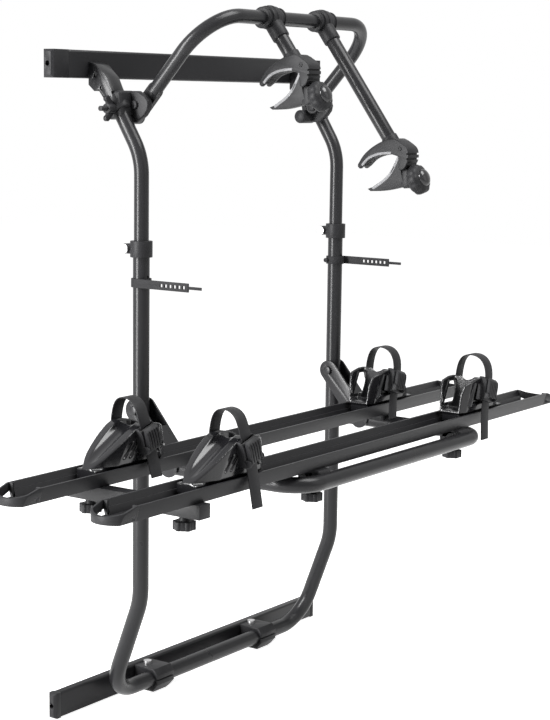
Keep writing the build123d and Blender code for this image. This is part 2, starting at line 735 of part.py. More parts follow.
def claw_body():
    """Claw body: neck for the arm, fixed jaw, hinge lugs, ribs and the lug that carries the knob."""
    half = CLAW_WIDTH / 2
    body = x_prism(claw_side(), -half, half)
    axis = arm_axis()
    neck_low = (0, -axis[1] * CLAW_NECK_START / 2, -axis[2] * CLAW_NECK_START / 2)
    neck_high = (0, -axis[1] * CLAW_NECK_END, -axis[2] * CLAW_NECK_END)
    bore_low = (0, -axis[1] * CLAW_NECK_START, -axis[2] * CLAW_NECK_START)
    body += rod(neck_low, neck_high, CLAW_NECK_D)
    lug = extrude(knob_plane(-MOVING_GAP) * Pos(0, 11) * Rectangle(CLAW_LUG_WIDTH, 46), -CLAW_LUG)
    body += lug
    slot_half = JAW_WIDTH / 2 + MOVING_GAP
    body -= x_rod(JAW_SWEEP_D, -slot_half, slot_half, 0, 0)
    body -= x_prism(jaw_space(), -slot_half, slot_half)
    body -= x_prism(upper_pad_side(), -half, half)
    for level in (-14, -4, 6):
        groove = Pos(0, -43, level) * Box(CLAW_WIDTH, 6, 4)
        body -= groove
    body -= rod(bore_low, neck_high, ARM_TUBE_D + 2 * SLIDE_FIT)
    body -= rod(knob_point(4), knob_point(-SPINDLE_REACH), SPINDLE_D + 2 * PIVOT_FIT)
    body -= x_rod(JAW_PIN_D, -half, half, 0, 0)
    return body


def jaw_space():
    """Room behind and below the hinge for the moving jaw."""
    return polygon((-5.5, -4), (16, -2), (16, -12), (10, -30), (8, -62), (-9, -62), (-6.5, -56),
                   (1, -39), (-1.5, -25), (-5.5, -12))


def upper_pad_side():
    """Side view of the fixed jaw's rubber pad."""
    return face_of(Line((54, -35), (57, -31)),
                   Spline((57, -31), (47, -18), (35, -9), (21, -5), (12, -4)),
                   Line((12, -4), (10, -7)),
                   upper_jaw_curve())


def lower_pad_side():
    """Side view of the moving jaw's rubber pad."""
    return face_of(lower_jaw_curve(),
                   Line((57, -68), (55, -71)),
                   Spline((55, -71), (36, -62), (20, -47), (12, -29), (6, -15)),
                   Line((6, -15), (10, -14)))


def claw_upper_pad():
    """Rubber pad of the fixed jaw."""
    pad = x_prism(upper_pad_side(), -PAD_WIDTH / 2, PAD_WIDTH / 2)
    return pad - x_rod(PAD_SWEEP_D, -CLAW_WIDTH, CLAW_WIDTH, 0, 0)


def claw_jaw():
    """Moving jaw with its hinge barrel."""
    side = face_of(
        Line((8, -4), (10, -14)),
        lower_jaw_curve(),
        Polyline((57, -68), (58, -71), (52, -73)),
        Spline((52, -73), (33, -71), (14, -68), (-3, -66)),
        Polyline((-3, -66), (-5, -58), (3, -38), (-4, -8), (8, -4)),
    )
    half = JAW_WIDTH / 2
    jaw = x_prism(side, -half, half) + x_rod(JAW_BARREL_D, -half, half, 0, 0)
    jaw -= x_prism(lower_pad_side(), -half, half)
    return jaw - x_rod(JAW_PIN_D + 2 * PIVOT_FIT, -half, half, 0, 0)


def claw_lower_pad():
    """Rubber pad of the moving jaw."""
    return x_prism(lower_pad_side(), -JAW_WIDTH / 2, JAW_WIDTH / 2)


def claw_hinge_pin():
    """Screw that the moving jaw turns on."""
    half = CLAW_WIDTH / 2
    pin = x_rod(JAW_PIN_D, -half, half, 0, 0)
    return pin + x_rod(JAW_PIN_D + 5, -half - 3, -half, 0, 0) + x_rod(JAW_PIN_D + 5, half, half + 3, 0, 0)


def claw_knob():
    """Domed knob on its spindle."""
    shoulder = CLAW_KNOB_D / 2 - 3
    top = CLAW_KNOB_FLANGE + CLAW_KNOB_DOME
    radius = (shoulder ** 2 + CLAW_KNOB_DOME ** 2) / (2 * CLAW_KNOB_DOME)
    half_turn = math.asin(shoulder / radius) / 2
    middle = (radius * math.sin(half_turn), top - radius * (1 - math.cos(half_turn)))
    profile = face_of(
        Polyline((0, top), (0, 0), (CLAW_KNOB_D / 2, 0), (CLAW_KNOB_D / 2, CLAW_KNOB_FLANGE),
                 (shoulder, CLAW_KNOB_FLANGE)),
        ThreePointArc((shoulder, CLAW_KNOB_FLANGE), middle, (0, top)),
    )
    dome = revolve(Plane.XZ * profile, Axis.Z)
    knob = knob_plane(0).location * dome
    return knob + rod(knob_point(1), knob_point(-SPINDLE_REACH), SPINDLE_D)


# Platform
def platform_bar(wall=0):
    """The platform's bent tube, as a tube or as a full bar."""
    points = [
        (-UPRIGHT_X, PLATFORM_LEG_END_Y, PLATFORM_Z),
        (-UPRIGHT_X, PLATFORM_FRONT_Y, PLATFORM_Z),
        (UPRIGHT_X, PLATFORM_FRONT_Y, PLATFORM_Z),
        (UPRIGHT_X, PLATFORM_LEG_END_Y, PLATFORM_Z),
    ]
    return pipe(points, PLATFORM_BEND, PLATFORM_TUBE_D, wall)


def platform_tube():
    """Platform tube with the holes for the rail studs."""
    tube = platform_bar(PLATFORM_TUBE_WALL)
    for side in (-1, 1):
        tube -= z_rod(STUD_D + 2 * PIVOT_FIT, PLATFORM_Z - PLATFORM_TUBE_D, RAIL_BOTTOM,
                      side * TUBE_KNOB_X, TUBE_KNOB_Y)
    return tube


def leg_plug():
    """Left plug in the platform's leg, hollowed to rest on the upright."""
    inner_d = PLATFORM_TUBE_D - 2 * PLATFORM_TUBE_WALL
    tail = (-UPRIGHT_X, PLATFORM_LEG_END_Y - PLATFORM_TUBE_D, PLATFORM_Z)
    mouth = (-UPRIGHT_X, PLATFORM_LEG_END_Y, PLATFORM_Z)
    plug = rod(tail, mouth, inner_d) + rod(mouth, (-UPRIGHT_X, UPRIGHT_Y, PLATFORM_Z), PLATFORM_TUBE_D)
    reach = PLATFORM_TUBE_D
    return plug - z_rod(LOWER_TUBE_D + 2 * MOVING_GAP, PLATFORM_Z - reach, PLATFORM_Z + reach,
                        -UPRIGHT_X, UPRIGHT_Y)


def strut_axis():
    """Length and unit vector of the strut from its pivot to its foot, in Y and Z."""
    run_y = STRUT_END_Y - UPRIGHT_Y
    run_z = STRUT_END_Z - PIVOT_Z
    length = math.hypot(run_y, run_z)
    return length, run_y / length, run_z / length


def strut():
    """Left strut: two cheeks that straddle the upright and the leg, joined by a web."""
    outer = STRUT_GAP + STRUT_PLATE
    side = capsule(UPRIGHT_Y, PIVOT_Z, STRUT_END_Y, STRUT_END_Z, STRUT_WIDTH)
    body = x_prism(side, -UPRIGHT_X - outer, -UPRIGHT_X + outer)
    body -= x_prism(side, -UPRIGHT_X - STRUT_GAP, -UPRIGHT_X + STRUT_GAP)
    _, along_y, along_z = strut_axis()
    offset = STRUT_WIDTH / 2 - STRUT_PLATE / 2
    web_line = []
    for distance in (STRUT_WEB_START, STRUT_WEB_END):
        web_line.append((UPRIGHT_Y + along_y * distance + along_z * offset,
                         PIVOT_Z + along_z * distance - along_y * offset))
    web = capsule(*web_line[0], *web_line[1], STRUT_PLATE)
    body += x_prism(web, -UPRIGHT_X - outer, -UPRIGHT_X + outer)
    body += x_rod(STRUT_PAD_D, -UPRIGHT_X - outer, -UPRIGHT_X + outer, STRUT_END_Y, PLATFORM_Z)
    body -= platform_bar()
    hole = PIVOT_BOLT_D + 2 * PIVOT_FIT
    return body - x_rod(hole, -UPRIGHT_X - outer, -UPRIGHT_X + outer, UPRIGHT_Y, PIVOT_Z)


def crossbar():
    """Box bar under the rails' long ends, with holes for two studs."""
    bottom = RAIL_BOTTOM - CROSSBAR_HEIGHT
    section = Rectangle(CROSSBAR_WIDTH, CROSSBAR_HEIGHT)
    section -= Rectangle(CROSSBAR_WIDTH - 2 * CROSSBAR_WALL, CROSSBAR_HEIGHT - 2 * CROSSBAR_WALL)
    bar = y_prism(Pos(CROSSBAR_X, bottom + CROSSBAR_HEIGHT / 2) * section,
                  CROSSBAR_OUTER_Y + CROSSBAR_PLUG, CROSSBAR_INNER_Y - CROSSBAR_PLUG)
    for y in (RAIL_INNER_Y, RAIL_OUTER_Y):
        bar -= z_rod(STUD_D + 2 * PIVOT_FIT, bottom, RAIL_BOTTOM, CROSSBAR_X, y)
    return bar


def crossbar_plugs():
    """Plugs in the crossbar's two ends."""
    middle = RAIL_BOTTOM - CROSSBAR_HEIGHT / 2
    outside = Rectangle(CROSSBAR_WIDTH, CROSSBAR_HEIGHT)
    inside = Rectangle(CROSSBAR_WIDTH - 2 * CROSSBAR_WALL, CROSSBAR_HEIGHT - 2 * CROSSBAR_WALL)
    plugs = []
    for end, inward in ((CROSSBAR_INNER_Y, -1), (CROSSBAR_OUTER_Y, 1)):
        seat = end + inward * CROSSBAR_PLUG
        tail = seat + inward * 2 * CROSSBAR_PLUG
        head = y_prism(Pos(CROSSBAR_X, middle) * outside, min(end, seat), max(end, seat))
        head += y_prism(Pos(CROSSBAR_X, middle) * inside, min(seat, tail), max(seat, tail))
        plugs.append(head)
    return plugs


# Rails
def ledge_half():
    """Half width of a rail's channel just above its ledges."""
    slope = (RAIL_TOP_HALF - RAIL_BOTTOM_HALF) / RAIL_HEIGHT
    return RAIL_TOP_HALF - RAIL_RIM - slope * (RAIL_HEIGHT - RAIL_LEDGE_HEIGHT)


def rail_section():
    """Channel section of a wheel rail, drawn in Y and Z about its middle."""
    top = RAIL_BOTTOM + RAIL_HEIGHT
    ledge = RAIL_BOTTOM + RAIL_LEDGE_HEIGHT
    inside = RAIL_TOP_HALF - RAIL_RIM
    slope = (RAIL_TOP_HALF - RAIL_BOTTOM_HALF) / RAIL_HEIGHT
    at_ledge = ledge_half()
    foot = at_ledge - RAIL_LEDGE - slope * (RAIL_LEDGE_HEIGHT - RAIL_FLOOR)
    right = [(RAIL_BOTTOM_HALF, RAIL_BOTTOM), (RAIL_TOP_HALF, top), (inside, top), (at_ledge, ledge),
             (at_ledge - RAIL_LEDGE, ledge), (foot, RAIL_BOTTOM + RAIL_FLOOR)]
    left = [(-y, z) for y, z in reversed(right)]
    return polygon(*right, *left)


def rail(middle_y, studs):
    """Extruded wheel rail with holes for its studs."""
    body = x_prism(Pos(middle_y, 0) * rail_section(), RAIL_LEFT + RAIL_CAP_LENGTH, RAIL_RIGHT - RAIL_CAP_LENGTH)
    for x, y in studs:
        body -= z_rod(STUD_D + 2 * PIVOT_FIT, RAIL_BOTTOM, RAIL_BOTTOM + RAIL_HEIGHT, x, y)
    return body


def rail_cap(middle_y):
    """Scoop-shaped end cap of a rail's left end."""
    top = RAIL_BOTTOM + RAIL_HEIGHT
    length = RAIL_CAP_LENGTH
    joint = RAIL_LEFT + length
    wide = RAIL_TOP_HALF
    plan = face_of(Line((joint, -wide), (joint, wide)),
                   Line((joint, wide), (RAIL_LEFT + 16, wide - 3)),
                   ThreePointArc((RAIL_LEFT + 16, wide - 3), (RAIL_LEFT, 0), (RAIL_LEFT + 16, 3 - wide)),
                   Line((RAIL_LEFT + 16, 3 - wide), (joint, -wide)))
    section = polygon((-RAIL_BOTTOM_HALF, RAIL_BOTTOM), (RAIL_BOTTOM_HALF, RAIL_BOTTOM), (wide, top), (-wide, top))
    cap = z_prism(plan, RAIL_BOTTOM, top) & x_prism(section, RAIL_LEFT, joint)
    inner = offset(plan, -RAIL_CAP_WALL)
    pocket = z_prism(inner, RAIL_BOTTOM + RAIL_FLOOR, top)
    mouth = Pos(joint, 0, RAIL_BOTTOM + RAIL_FLOOR + RAIL_HEIGHT / 2)
    pocket += mouth * Box(4 * RAIL_CAP_WALL, 2 * (RAIL_BOTTOM_HALF - RAIL_CAP_WALL), RAIL_HEIGHT)
    cap -= pocket
    slant = polygon((RAIL_LEFT - 1, RAIL_BOTTOM + RAIL_CAP_TIP), (RAIL_LEFT - 1, top + 1),
                    (joint - 6, top + 1), (joint - 6, top))
    cap -= y_prism(slant, -wide, wide)
    return Pos(0, middle_y, 0) * cap


def rail_caps():
    """Four end caps, one for each end of each rail."""
    caps = []
    for middle_y in (RAIL_INNER_Y, RAIL_OUTER_Y):
        left = rail_cap(middle_y)
        caps += [left, Pos(RAIL_LEFT + RAIL_RIGHT, 0, 0) * flipped(left)]
    return caps


def saddle(x, y):
    """Saddle between the platform tube and a rail."""
    low = PLATFORM_Z + PLATFORM_TUBE_D / 2 - SADDLE_WRAP
    block = z_prism(Pos(x, y) * RectangleRounded(SADDLE_WIDTH, SADDLE_LENGTH, 5), low, RAIL_BOTTOM)
    block -= platform_bar()
    return block


def rail_fixings():
    """Saddles on the platform tube, and the nuts inside the rails."""
    pieces = []
    for side in (-1, 1):
        pieces.append(saddle(side * UPRIGHT_X, RAIL_INNER_Y))
        stud = z_rod(STUD_D + 2 * PIVOT_FIT, PLATFORM_Z, RAIL_BOTTOM, side * TUBE_KNOB_X, TUBE_KNOB_Y)
        pieces.append(saddle(side * TUBE_KNOB_X, TUBE_KNOB_Y) - stud)
    for x, y, _ in knob_places():
        floor = RAIL_BOTTOM + RAIL_FLOOR
        nut = z_prism(Pos(x, y) * Rectangle(NUT_SIZE, NUT_SIZE), floor, floor + NUT_HEIGHT)
        pieces.append(nut - z_rod(STUD_D + 2 * PIVOT_FIT, floor, floor + NUT_HEIGHT, x, y))
    return pieces


def knob_places():
    """X, Y and the level of the seat of each knob under the platform."""
    tube_seat = PLATFORM_Z - PLATFORM_TUBE_D / 2 - MOVING_GAP
    bar_seat = RAIL_BOTTOM - CROSSBAR_HEIGHT - MOVING_GAP
    return [(CROSSBAR_X, RAIL_INNER_Y, bar_seat), (CROSSBAR_X, RAIL_OUTER_Y, bar_seat),
            (-TUBE_KNOB_X, TUBE_KNOB_Y, tube_seat), (TUBE_KNOB_X, TUBE_KNOB_Y, tube_seat)]


def platform_knob(x, y, seat):
    """Lobed knob with a stem and a stud that reaches its nut in the rail."""
    grip = Circle(GRIP_D / 2 - GRIP_LOBE_D / 4)
    grip += PolarLocations(GRIP_D / 2 - GRIP_LOBE_D / 2, GRIP_LOBES) * Circle(GRIP_LOBE_D / 2)
    body = z_prism(grip, seat - GRIP_STEM - GRIP_HEIGHT, seat - GRIP_STEM)
    body += z_rod(GRIP_STEM_D, seat - GRIP_STEM, seat, 0, 0)
    body += z_rod(STUD_D, seat, RAIL_BOTTOM + RAIL_FLOOR + NUT_HEIGHT, 0, 0)
    return Pos(x, y, 0) * body


# Cradles
def cradle_side():
    """Side view of a cradle above the rail's rim: ramp, crest, valley and inner fin."""
    rim = RAIL_BOTTOM + RAIL_HEIGHT
    return face_of(
        Spline((-CRADLE_OUT, rim + 2), (-72, rim + 21), (-42, rim + 38), (-14, rim + 55), (2, rim + CRADLE_CREST)),
        Spline((2, rim + CRADLE_CREST), (14, rim + 54), (29, rim + CRADLE_VALLEY), (44, rim + 54),
               (60, rim + CRADLE_PEAK)),
        Spline((60, rim + CRADLE_PEAK), (76, rim + 54), (88, rim + 26), (CRADLE_IN, rim + 2)),
        Polyline((CRADLE_IN, rim + 2), (CRADLE_IN, rim + 0.5), (-CRADLE_OUT, rim + 0.5), (-CRADLE_OUT, rim + 2)),
    )


def cradle_plan():
    """Plan view of a cradle, drawn in at both ends."""
    wide = CRADLE_TOP_HALF
    return face_of(
        Spline((-CRADLE_OUT, -7), (-74, -23), (-34, -wide)),
        Line((-34, -wide), (62, -wide)),
        Spline((62, -wide), (84, -27), (CRADLE_IN, -18)),
        Line((CRADLE_IN, -18), (CRADLE_IN, 18)),
        Spline((CRADLE_IN, 18), (84, 27), (62, wide)),
        Line((62, wide), (-34, wide)),
        Spline((-34, wide), (-74, 23), (-CRADLE_OUT, 7)),
        Line((-CRADLE_OUT, 7), (-CRADLE_OUT, -7)),
    )


def cradle():
    """Left cradle about its own middle: ramp, flared cheeks, tyre trough and a foot in the rail."""
    rim = RAIL_BOTTOM + RAIL_HEIGHT
    foot_bottom = RAIL_BOTTOM + RAIL_FLOOR + NUT_HEIGHT + MOVING_GAP
    high = rim + CRADLE_PEAK + 1
    flare = polygon((-CRADLE_FOOT_HALF, rim), (CRADLE_FOOT_HALF, rim),
                    (CRADLE_TOP_HALF, high), (-CRADLE_TOP_HALF, high))
    body = y_prism(cradle_side(), -CRADLE_TOP_HALF, CRADLE_TOP_HALF)
    body &= x_prism(flare, -CRADLE_OUT, CRADLE_IN)
    body &= z_prism(cradle_plan(), rim, high)
    inside = CRADLE_FOOT_HALF - CRADLE_WALL
    inside_top = CRADLE_TOP_HALF - CRADLE_WALL
    trough = polygon((-inside, rim + CRADLE_FLOOR), (inside, rim + CRADLE_FLOOR),
                     (inside_top, high + 1), (-inside_top, high + 1))
    body -= x_prism(trough, 6, CRADLE_IN + 1)
    groove_start = (-CRADLE_OUT - 30, 0, rim + 2 + TYRE_GROOVE_D / 2 - 18)
    groove_end = (12, 0, rim + CRADLE_CREST + TYRE_GROOVE_D / 2)
    body -= rod(groove_start, groove_end, TYRE_GROOVE_D)
    for shift in (0, 14):
        slot = polygon((-34 + shift, rim + 14), (-34 + shift + CRADLE_SLOT, rim + 14),
                       (-12 + shift + CRADLE_SLOT, rim + 38), (-12 + shift, rim + 38))
        body -= y_prism(slot, -CRADLE_TOP_HALF, 3 - CRADLE_FOOT_HALF)
        body -= y_prism(slot, CRADLE_FOOT_HALF - 3, CRADLE_TOP_HALF)
    gap = polygon((68, rim + 16), (74, rim + 16), (66, rim + 52), (59, rim + 48))
    body -= y_prism(gap, -CRADLE_TOP_HALF, CRADLE_TOP_HALF)
    foot = z_prism(Rectangle(2 * CRADLE_BASE_HALF, CRADLE_BASE_WIDTH), foot_bottom, rim + 1)
    runner = Rectangle(2 * CRADLE_BASE_HALF, 2 * (ledge_half() - MOVING_GAP))
    foot += z_prism(runner, RAIL_BOTTOM + RAIL_LEDGE_HEIGHT + MOVING_GAP, rim - RAIL_FLOOR)
    return body + foot + buckle()


def buckle():
    """Buckle housing on the outer cheek, open upwards for the strap."""
    rim = RAIL_BOTTOM + RAIL_HEIGHT
    back = -CRADLE_FOOT_HALF
    front = -STRAP_SIDE - STRAP_THICKNESS / 2 - BUCKLE_WALL - MOVING_GAP
    housing = Pos(0, (front + back) / 2, rim + (BUCKLE_LOW + BUCKLE_HIGH) / 2)
    block = housing * Box(BUCKLE_WIDTH, back - front, BUCKLE_HIGH - BUCKLE_LOW)
    slot = Pos(0, -STRAP_SIDE, rim + (BUCKLE_LOW + BUCKLE_HIGH) / 2)
    block -= slot * Box(STRAP_WIDTH + 1, STRAP_THICKNESS + 2 * MOVING_GAP, BUCKLE_HIGH)
    return block


def cradle_strap(tail):
    """Strap over the tyre, from the inner cheek through the buckle to a tail that hangs to a level."""
    rim = RAIL_BOTTOM + RAIL_HEIGHT
    side = CRADLE_TOP_HALF + STRAP_THICKNESS
    points = [(0, side, rim + 24), (0, side, STRAP_TOP - 26), (0, side - 20, STRAP_TOP - STRAP_THICKNESS / 2),
              (0, 16 - STRAP_SIDE, STRAP_TOP - STRAP_THICKNESS / 2), (0, -STRAP_SIDE, STRAP_TOP - 28),
              (0, -STRAP_SIDE, rim + 10), (0, -STRAP_TAIL_SIDE, tail)]
    path = FilletPolyline(*points, radius=[18, 16, 16, 18, 12])
    section = Plane(origin=path @ 0, z_dir=path % 0, x_dir=(1, 0, 0)) * Rectangle(STRAP_WIDTH, STRAP_THICKNESS)
    return sweep(section, path=path)


def buckle_lever():
    """Lever on the front of the buckle, about its own pin."""
    plate = polygon((-2, 2), (-LEVER_PLATE - 2, 0), (-LEVER_PLATE - 1, 4 - LEVER_LENGTH),
                    (-LEVER_PLATE - 4, -LEVER_LENGTH), (-LEVER_PLATE - 1, -LEVER_LENGTH),
                    (-2, 4 - LEVER_LENGTH), (-1, -2))
    half = BUCKLE_WIDTH / 2 - 3
    return x_prism(plate, -half, half) + x_rod(LEVER_PIN_D + 2, -half, half, -3, 0)


def lever_place():
    """Y and Z of the lever's pin, about the cradle's middle."""
    front = -STRAP_SIDE - STRAP_THICKNESS / 2 - BUCKLE_WALL - MOVING_GAP
    return front - MOVING_GAP, RAIL_BOTTOM + RAIL_HEIGHT + BUCKLE_HIGH - 5


def save_cradles():
    """Four cradles with their straps and levers."""
    lever_y, lever_z = lever_place()
    places = [
        ("inner_left", CRADLE_INNER_LEFT_X, RAIL_INNER_Y, STRAP_BAR_TAIL, False),
        ("inner_right", CRADLE_INNER_RIGHT_X, RAIL_INNER_Y, STRAP_SHORT_TAIL, True),
        ("outer_left", CRADLE_OUTER_LEFT_X, RAIL_OUTER_Y, STRAP_LONG_TAIL, False),
        ("outer_right", CRADLE_OUTER_RIGHT_X, RAIL_OUTER_Y, STRAP_LONG_TAIL, True),
    ]
    body = cradle()
    lever = Pos(0, lever_y, lever_z) * buckle_lever()
    for place, x, y, tail, mirrored in places:
        for name, shape in (("cradle", body), ("cradle_strap", cradle_strap(tail)), ("buckle_lever", lever)):
            piece = flipped(shape) if mirrored else shape
            save(f"{name}_{place}", Pos(x, y, 0) * piece)


def save_claws():
    """Two arms with their liners, clamps and claws."""
    for name, x, length in (("short", ARM_SHORT_X, ARM_SHORT_LENGTH), ("long", ARM_LONG_X, ARM_LONG_LENGTH)):
        place = claw_place(x, length)
        save(f"slide_liner_{name}", slide_liner(x))
        save(f"arm_clamp_{name}", arm_clamp(x))
        save(f"arm_tube_{name}", arm_tube(x, length))
        save(f"claw_body_{name}", place * claw_body(), place * claw_hinge_pin())
        save(f"claw_upper_pad_{name}", place * claw_upper_pad())
        save(f"claw_jaw_{name}", place * claw_jaw())
        save(f"claw_lower_pad_{name}", place * claw_lower_pad())
        save(f"claw_knob_{name}", place * claw_knob())


def save_lower_frame():
    """Pieces fixed to the vehicle's door."""
    save("lower_frame", lower_frame())
    save("clamp_collars", *both_sides(clamp_collar()))
    save("retaining_straps", *both_sides(retaining_strap()))
    save("door_beam", door_beam())
    save("door_beam_caps", *both_sides(door_beam_cap()))
    save("beam_rubber", beam_rubber())
    save("beam_clamps", *both_sides(beam_clamp()))
    save("frame_screws", *both_sides(collar_bolt()), *both_sides(clamp_screw()))
    save("pivot_bolts", *both_sides(pivot_bolt()))


def save_upper_frame():
    """Pieces that slide up and down in the lower frame."""
    save("upper_tube_left", upper_tube())
    save("upper_tube_right", flipped(upper_tube()))
    save("top_bar", top_bar())
    save("top_bar_caps", *top_bar_caps())
    save("hanger_brackets", *both_sides(hanger_bracket()))
    save("hoop_knuckles", *both_sides(hoop_knuckle()))
    save("hoop_pins", *both_sides(hoop_pin()))
    save("lock_knob_left", lock_knob())
    save("lock_knob_right", flipped(lock_knob()))
    save("hoop", hoop())


def save_platform():
    """Pieces of the folding platform."""
    save("platform_tube", platform_tube())
    save("strut_left", strut())
    save("strut_right", flipped(strut()))
    save("platform_plugs", *both_sides(leg_plug()), *crossbar_plugs())
    save("crossbar", crossbar())
    save("rail_inner", rail(RAIL_INNER_Y, [(CROSSBAR_X, RAIL_INNER_Y)]))
    outer_studs = [(CROSSBAR_X, RAIL_OUTER_Y), (-TUBE_KNOB_X, TUBE_KNOB_Y), (TUBE_KNOB_X, TUBE_KNOB_Y)]
    save("rail_outer", rail(RAIL_OUTER_Y, outer_studs))
    save("rail_caps", *rail_caps())
    save("rail_fixings", *rail_fixings())
    names = ("bar_inner", "bar_outer", "tube_left", "tube_right")
    for name, place in zip(names, knob_places()):
        save(f"platform_knob_{name}", platform_knob(*place))


os.makedirs("parts", exist_ok=True)
save_lower_frame()
save_upper_frame()
save_claws()
save_platform()
save_cradles()
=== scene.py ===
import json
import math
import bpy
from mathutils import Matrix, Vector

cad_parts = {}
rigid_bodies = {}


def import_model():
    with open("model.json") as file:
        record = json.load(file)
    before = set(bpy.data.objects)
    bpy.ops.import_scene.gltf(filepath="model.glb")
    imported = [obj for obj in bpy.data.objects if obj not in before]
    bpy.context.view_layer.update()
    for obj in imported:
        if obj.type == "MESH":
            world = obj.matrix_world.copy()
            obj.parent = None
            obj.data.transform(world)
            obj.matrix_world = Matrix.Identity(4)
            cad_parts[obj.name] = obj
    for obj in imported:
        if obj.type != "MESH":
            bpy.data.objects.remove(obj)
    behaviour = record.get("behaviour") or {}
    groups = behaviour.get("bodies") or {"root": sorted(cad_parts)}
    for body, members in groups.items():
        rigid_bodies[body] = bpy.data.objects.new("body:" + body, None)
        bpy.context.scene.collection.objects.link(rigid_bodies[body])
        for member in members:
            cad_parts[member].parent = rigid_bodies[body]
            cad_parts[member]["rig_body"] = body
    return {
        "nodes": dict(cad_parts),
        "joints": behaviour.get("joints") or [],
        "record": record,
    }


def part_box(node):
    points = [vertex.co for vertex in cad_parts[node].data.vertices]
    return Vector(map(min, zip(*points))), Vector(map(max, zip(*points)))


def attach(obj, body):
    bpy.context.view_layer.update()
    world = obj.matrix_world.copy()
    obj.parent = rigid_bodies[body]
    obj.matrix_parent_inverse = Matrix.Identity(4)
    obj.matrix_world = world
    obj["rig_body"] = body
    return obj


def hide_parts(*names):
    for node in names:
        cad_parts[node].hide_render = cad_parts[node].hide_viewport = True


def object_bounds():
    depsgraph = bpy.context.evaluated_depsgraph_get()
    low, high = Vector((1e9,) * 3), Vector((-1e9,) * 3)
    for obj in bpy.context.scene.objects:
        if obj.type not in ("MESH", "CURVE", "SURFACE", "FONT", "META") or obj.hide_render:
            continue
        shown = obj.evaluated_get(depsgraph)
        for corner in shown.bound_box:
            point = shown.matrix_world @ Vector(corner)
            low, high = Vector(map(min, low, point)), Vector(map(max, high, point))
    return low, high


bl_info = {
    "name": "Rear Door Bike Carrier",
    "version": (1, 0, 0),
    "blender": (4, 5, 0),
    "location": "3D View > Sidebar > Bike Carrier",
    "description": "Dresses the packed carrier with finishes, mouldings, cradles, claws and a photo stage",
    "category": "Object",
}

import bpy
from mathutils import Matrix, Vector

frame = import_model()
CAD_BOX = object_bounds()

# Names
SIDES = {"left": -1, "right": 1}
ARMS = ("short", "long")
CRADLES = ("inner_left", "inner_right", "outer_left", "outer_right")
PLATFORM_KNOBS = ("bar_inner", "bar_outer", "tube_left", "tube_right")

# Camera solved from the photograph, in metres and degrees
CAMERA_PLACE = (-2.4668, -1.9364, 0.9970)
CAMERA_YAW = 35.365
CAMERA_PITCH = 8.365
CAMERA_ROLL = 0.762
CAMERA_LENS = 88.7

# Light: strengths, the point that the lamps aim at, and each lamp's place, size and power
WORLD_LEVEL = 0.1
FLOOR_GLOW = 0.9
LAMP_AIM = (0, -0.2, 0.55)
LAMPS = {
    'key_lamp': ((-2.9, 0.9, 1.4), (0.7, 3.0), 300),
    'fill_lamp': ((0.8, -3.2, 1.6), (2.0, 2.0), 12),
    'top_lamp': ((0.3, -1.4, 3.0), (1.5, 1.8), 95),
}

# Floor, in metres
FLOOR_SIZE = 14
FLOOR_CENTRE = (2.0, 1.4)
FLOOR_DROP = 0.0005

# From here on sizes are in millimetres and angles in degrees
MM = 0.001
MERGE_DISTANCE = 0.01

# Bent tubes and knuckles
UPRIGHT = 281
UPRIGHT_BACK = -120
LOOP_FRONT = -439
LOOP_END = -150
LOOP_LEVEL = 410.5
LOOP_BEND = 50
LOOP_RADIUS = 13
UPPER_BOTTOM = 600
SHOULDER_LEVEL = 903
SHOULDER_BEND = 100
UPPER_END = (-50, 1016)
UPPER_RADIUS = 12
BEND_STEPS = 14
HOOP_PIN = (-93, 985)
STOP_AT = (-72, 966)
GRIP_AT = (-79, 975)
GRIP_AXIS = (0, 77, 107.8)
KNUCKLE_INNER = UPRIGHT - 27
KNUCKLE_OUTER = UPRIGHT - 15

# Claws and arms
CLAW_SET = (14, -6.5)
CLAW_WIDTH = 34
JAW_HALF = 12
PAD_PROUD = 0.4
UPPER_TAPER = ('y', 30, 54, 0.22)
LOWER_TAPER = ('z', 36, 34, 0.3)
KNOB_AT = (-17, -54)
KNOB_TILT = 20
KNOB_CROWN = 21
KNOB_FLUTES = 9
FLUTE_DEPTH = 0.055
ARM_RADIUS = 12
CLAMP_RISE = 1.8
CLAMP_RADIUS = 18.2
CLAMP_HALF = 13
RIDGE_HALF = 3
RIDGE_SHARE = 1.06

# Cradles and straps
RIM = 452
RAIL_LINES = {"inner": -227, "outer": -404}
CRADLE_VOXEL = 1.2
STRAP_WIDTH = 25
STRAP_THICKNESS = 1.6
STRAP_SLANT = 17
STRAP_TOP = 550
STRAP_FAR = 33
STRAP_NEAR = 36
TAIL_LEAN = -50


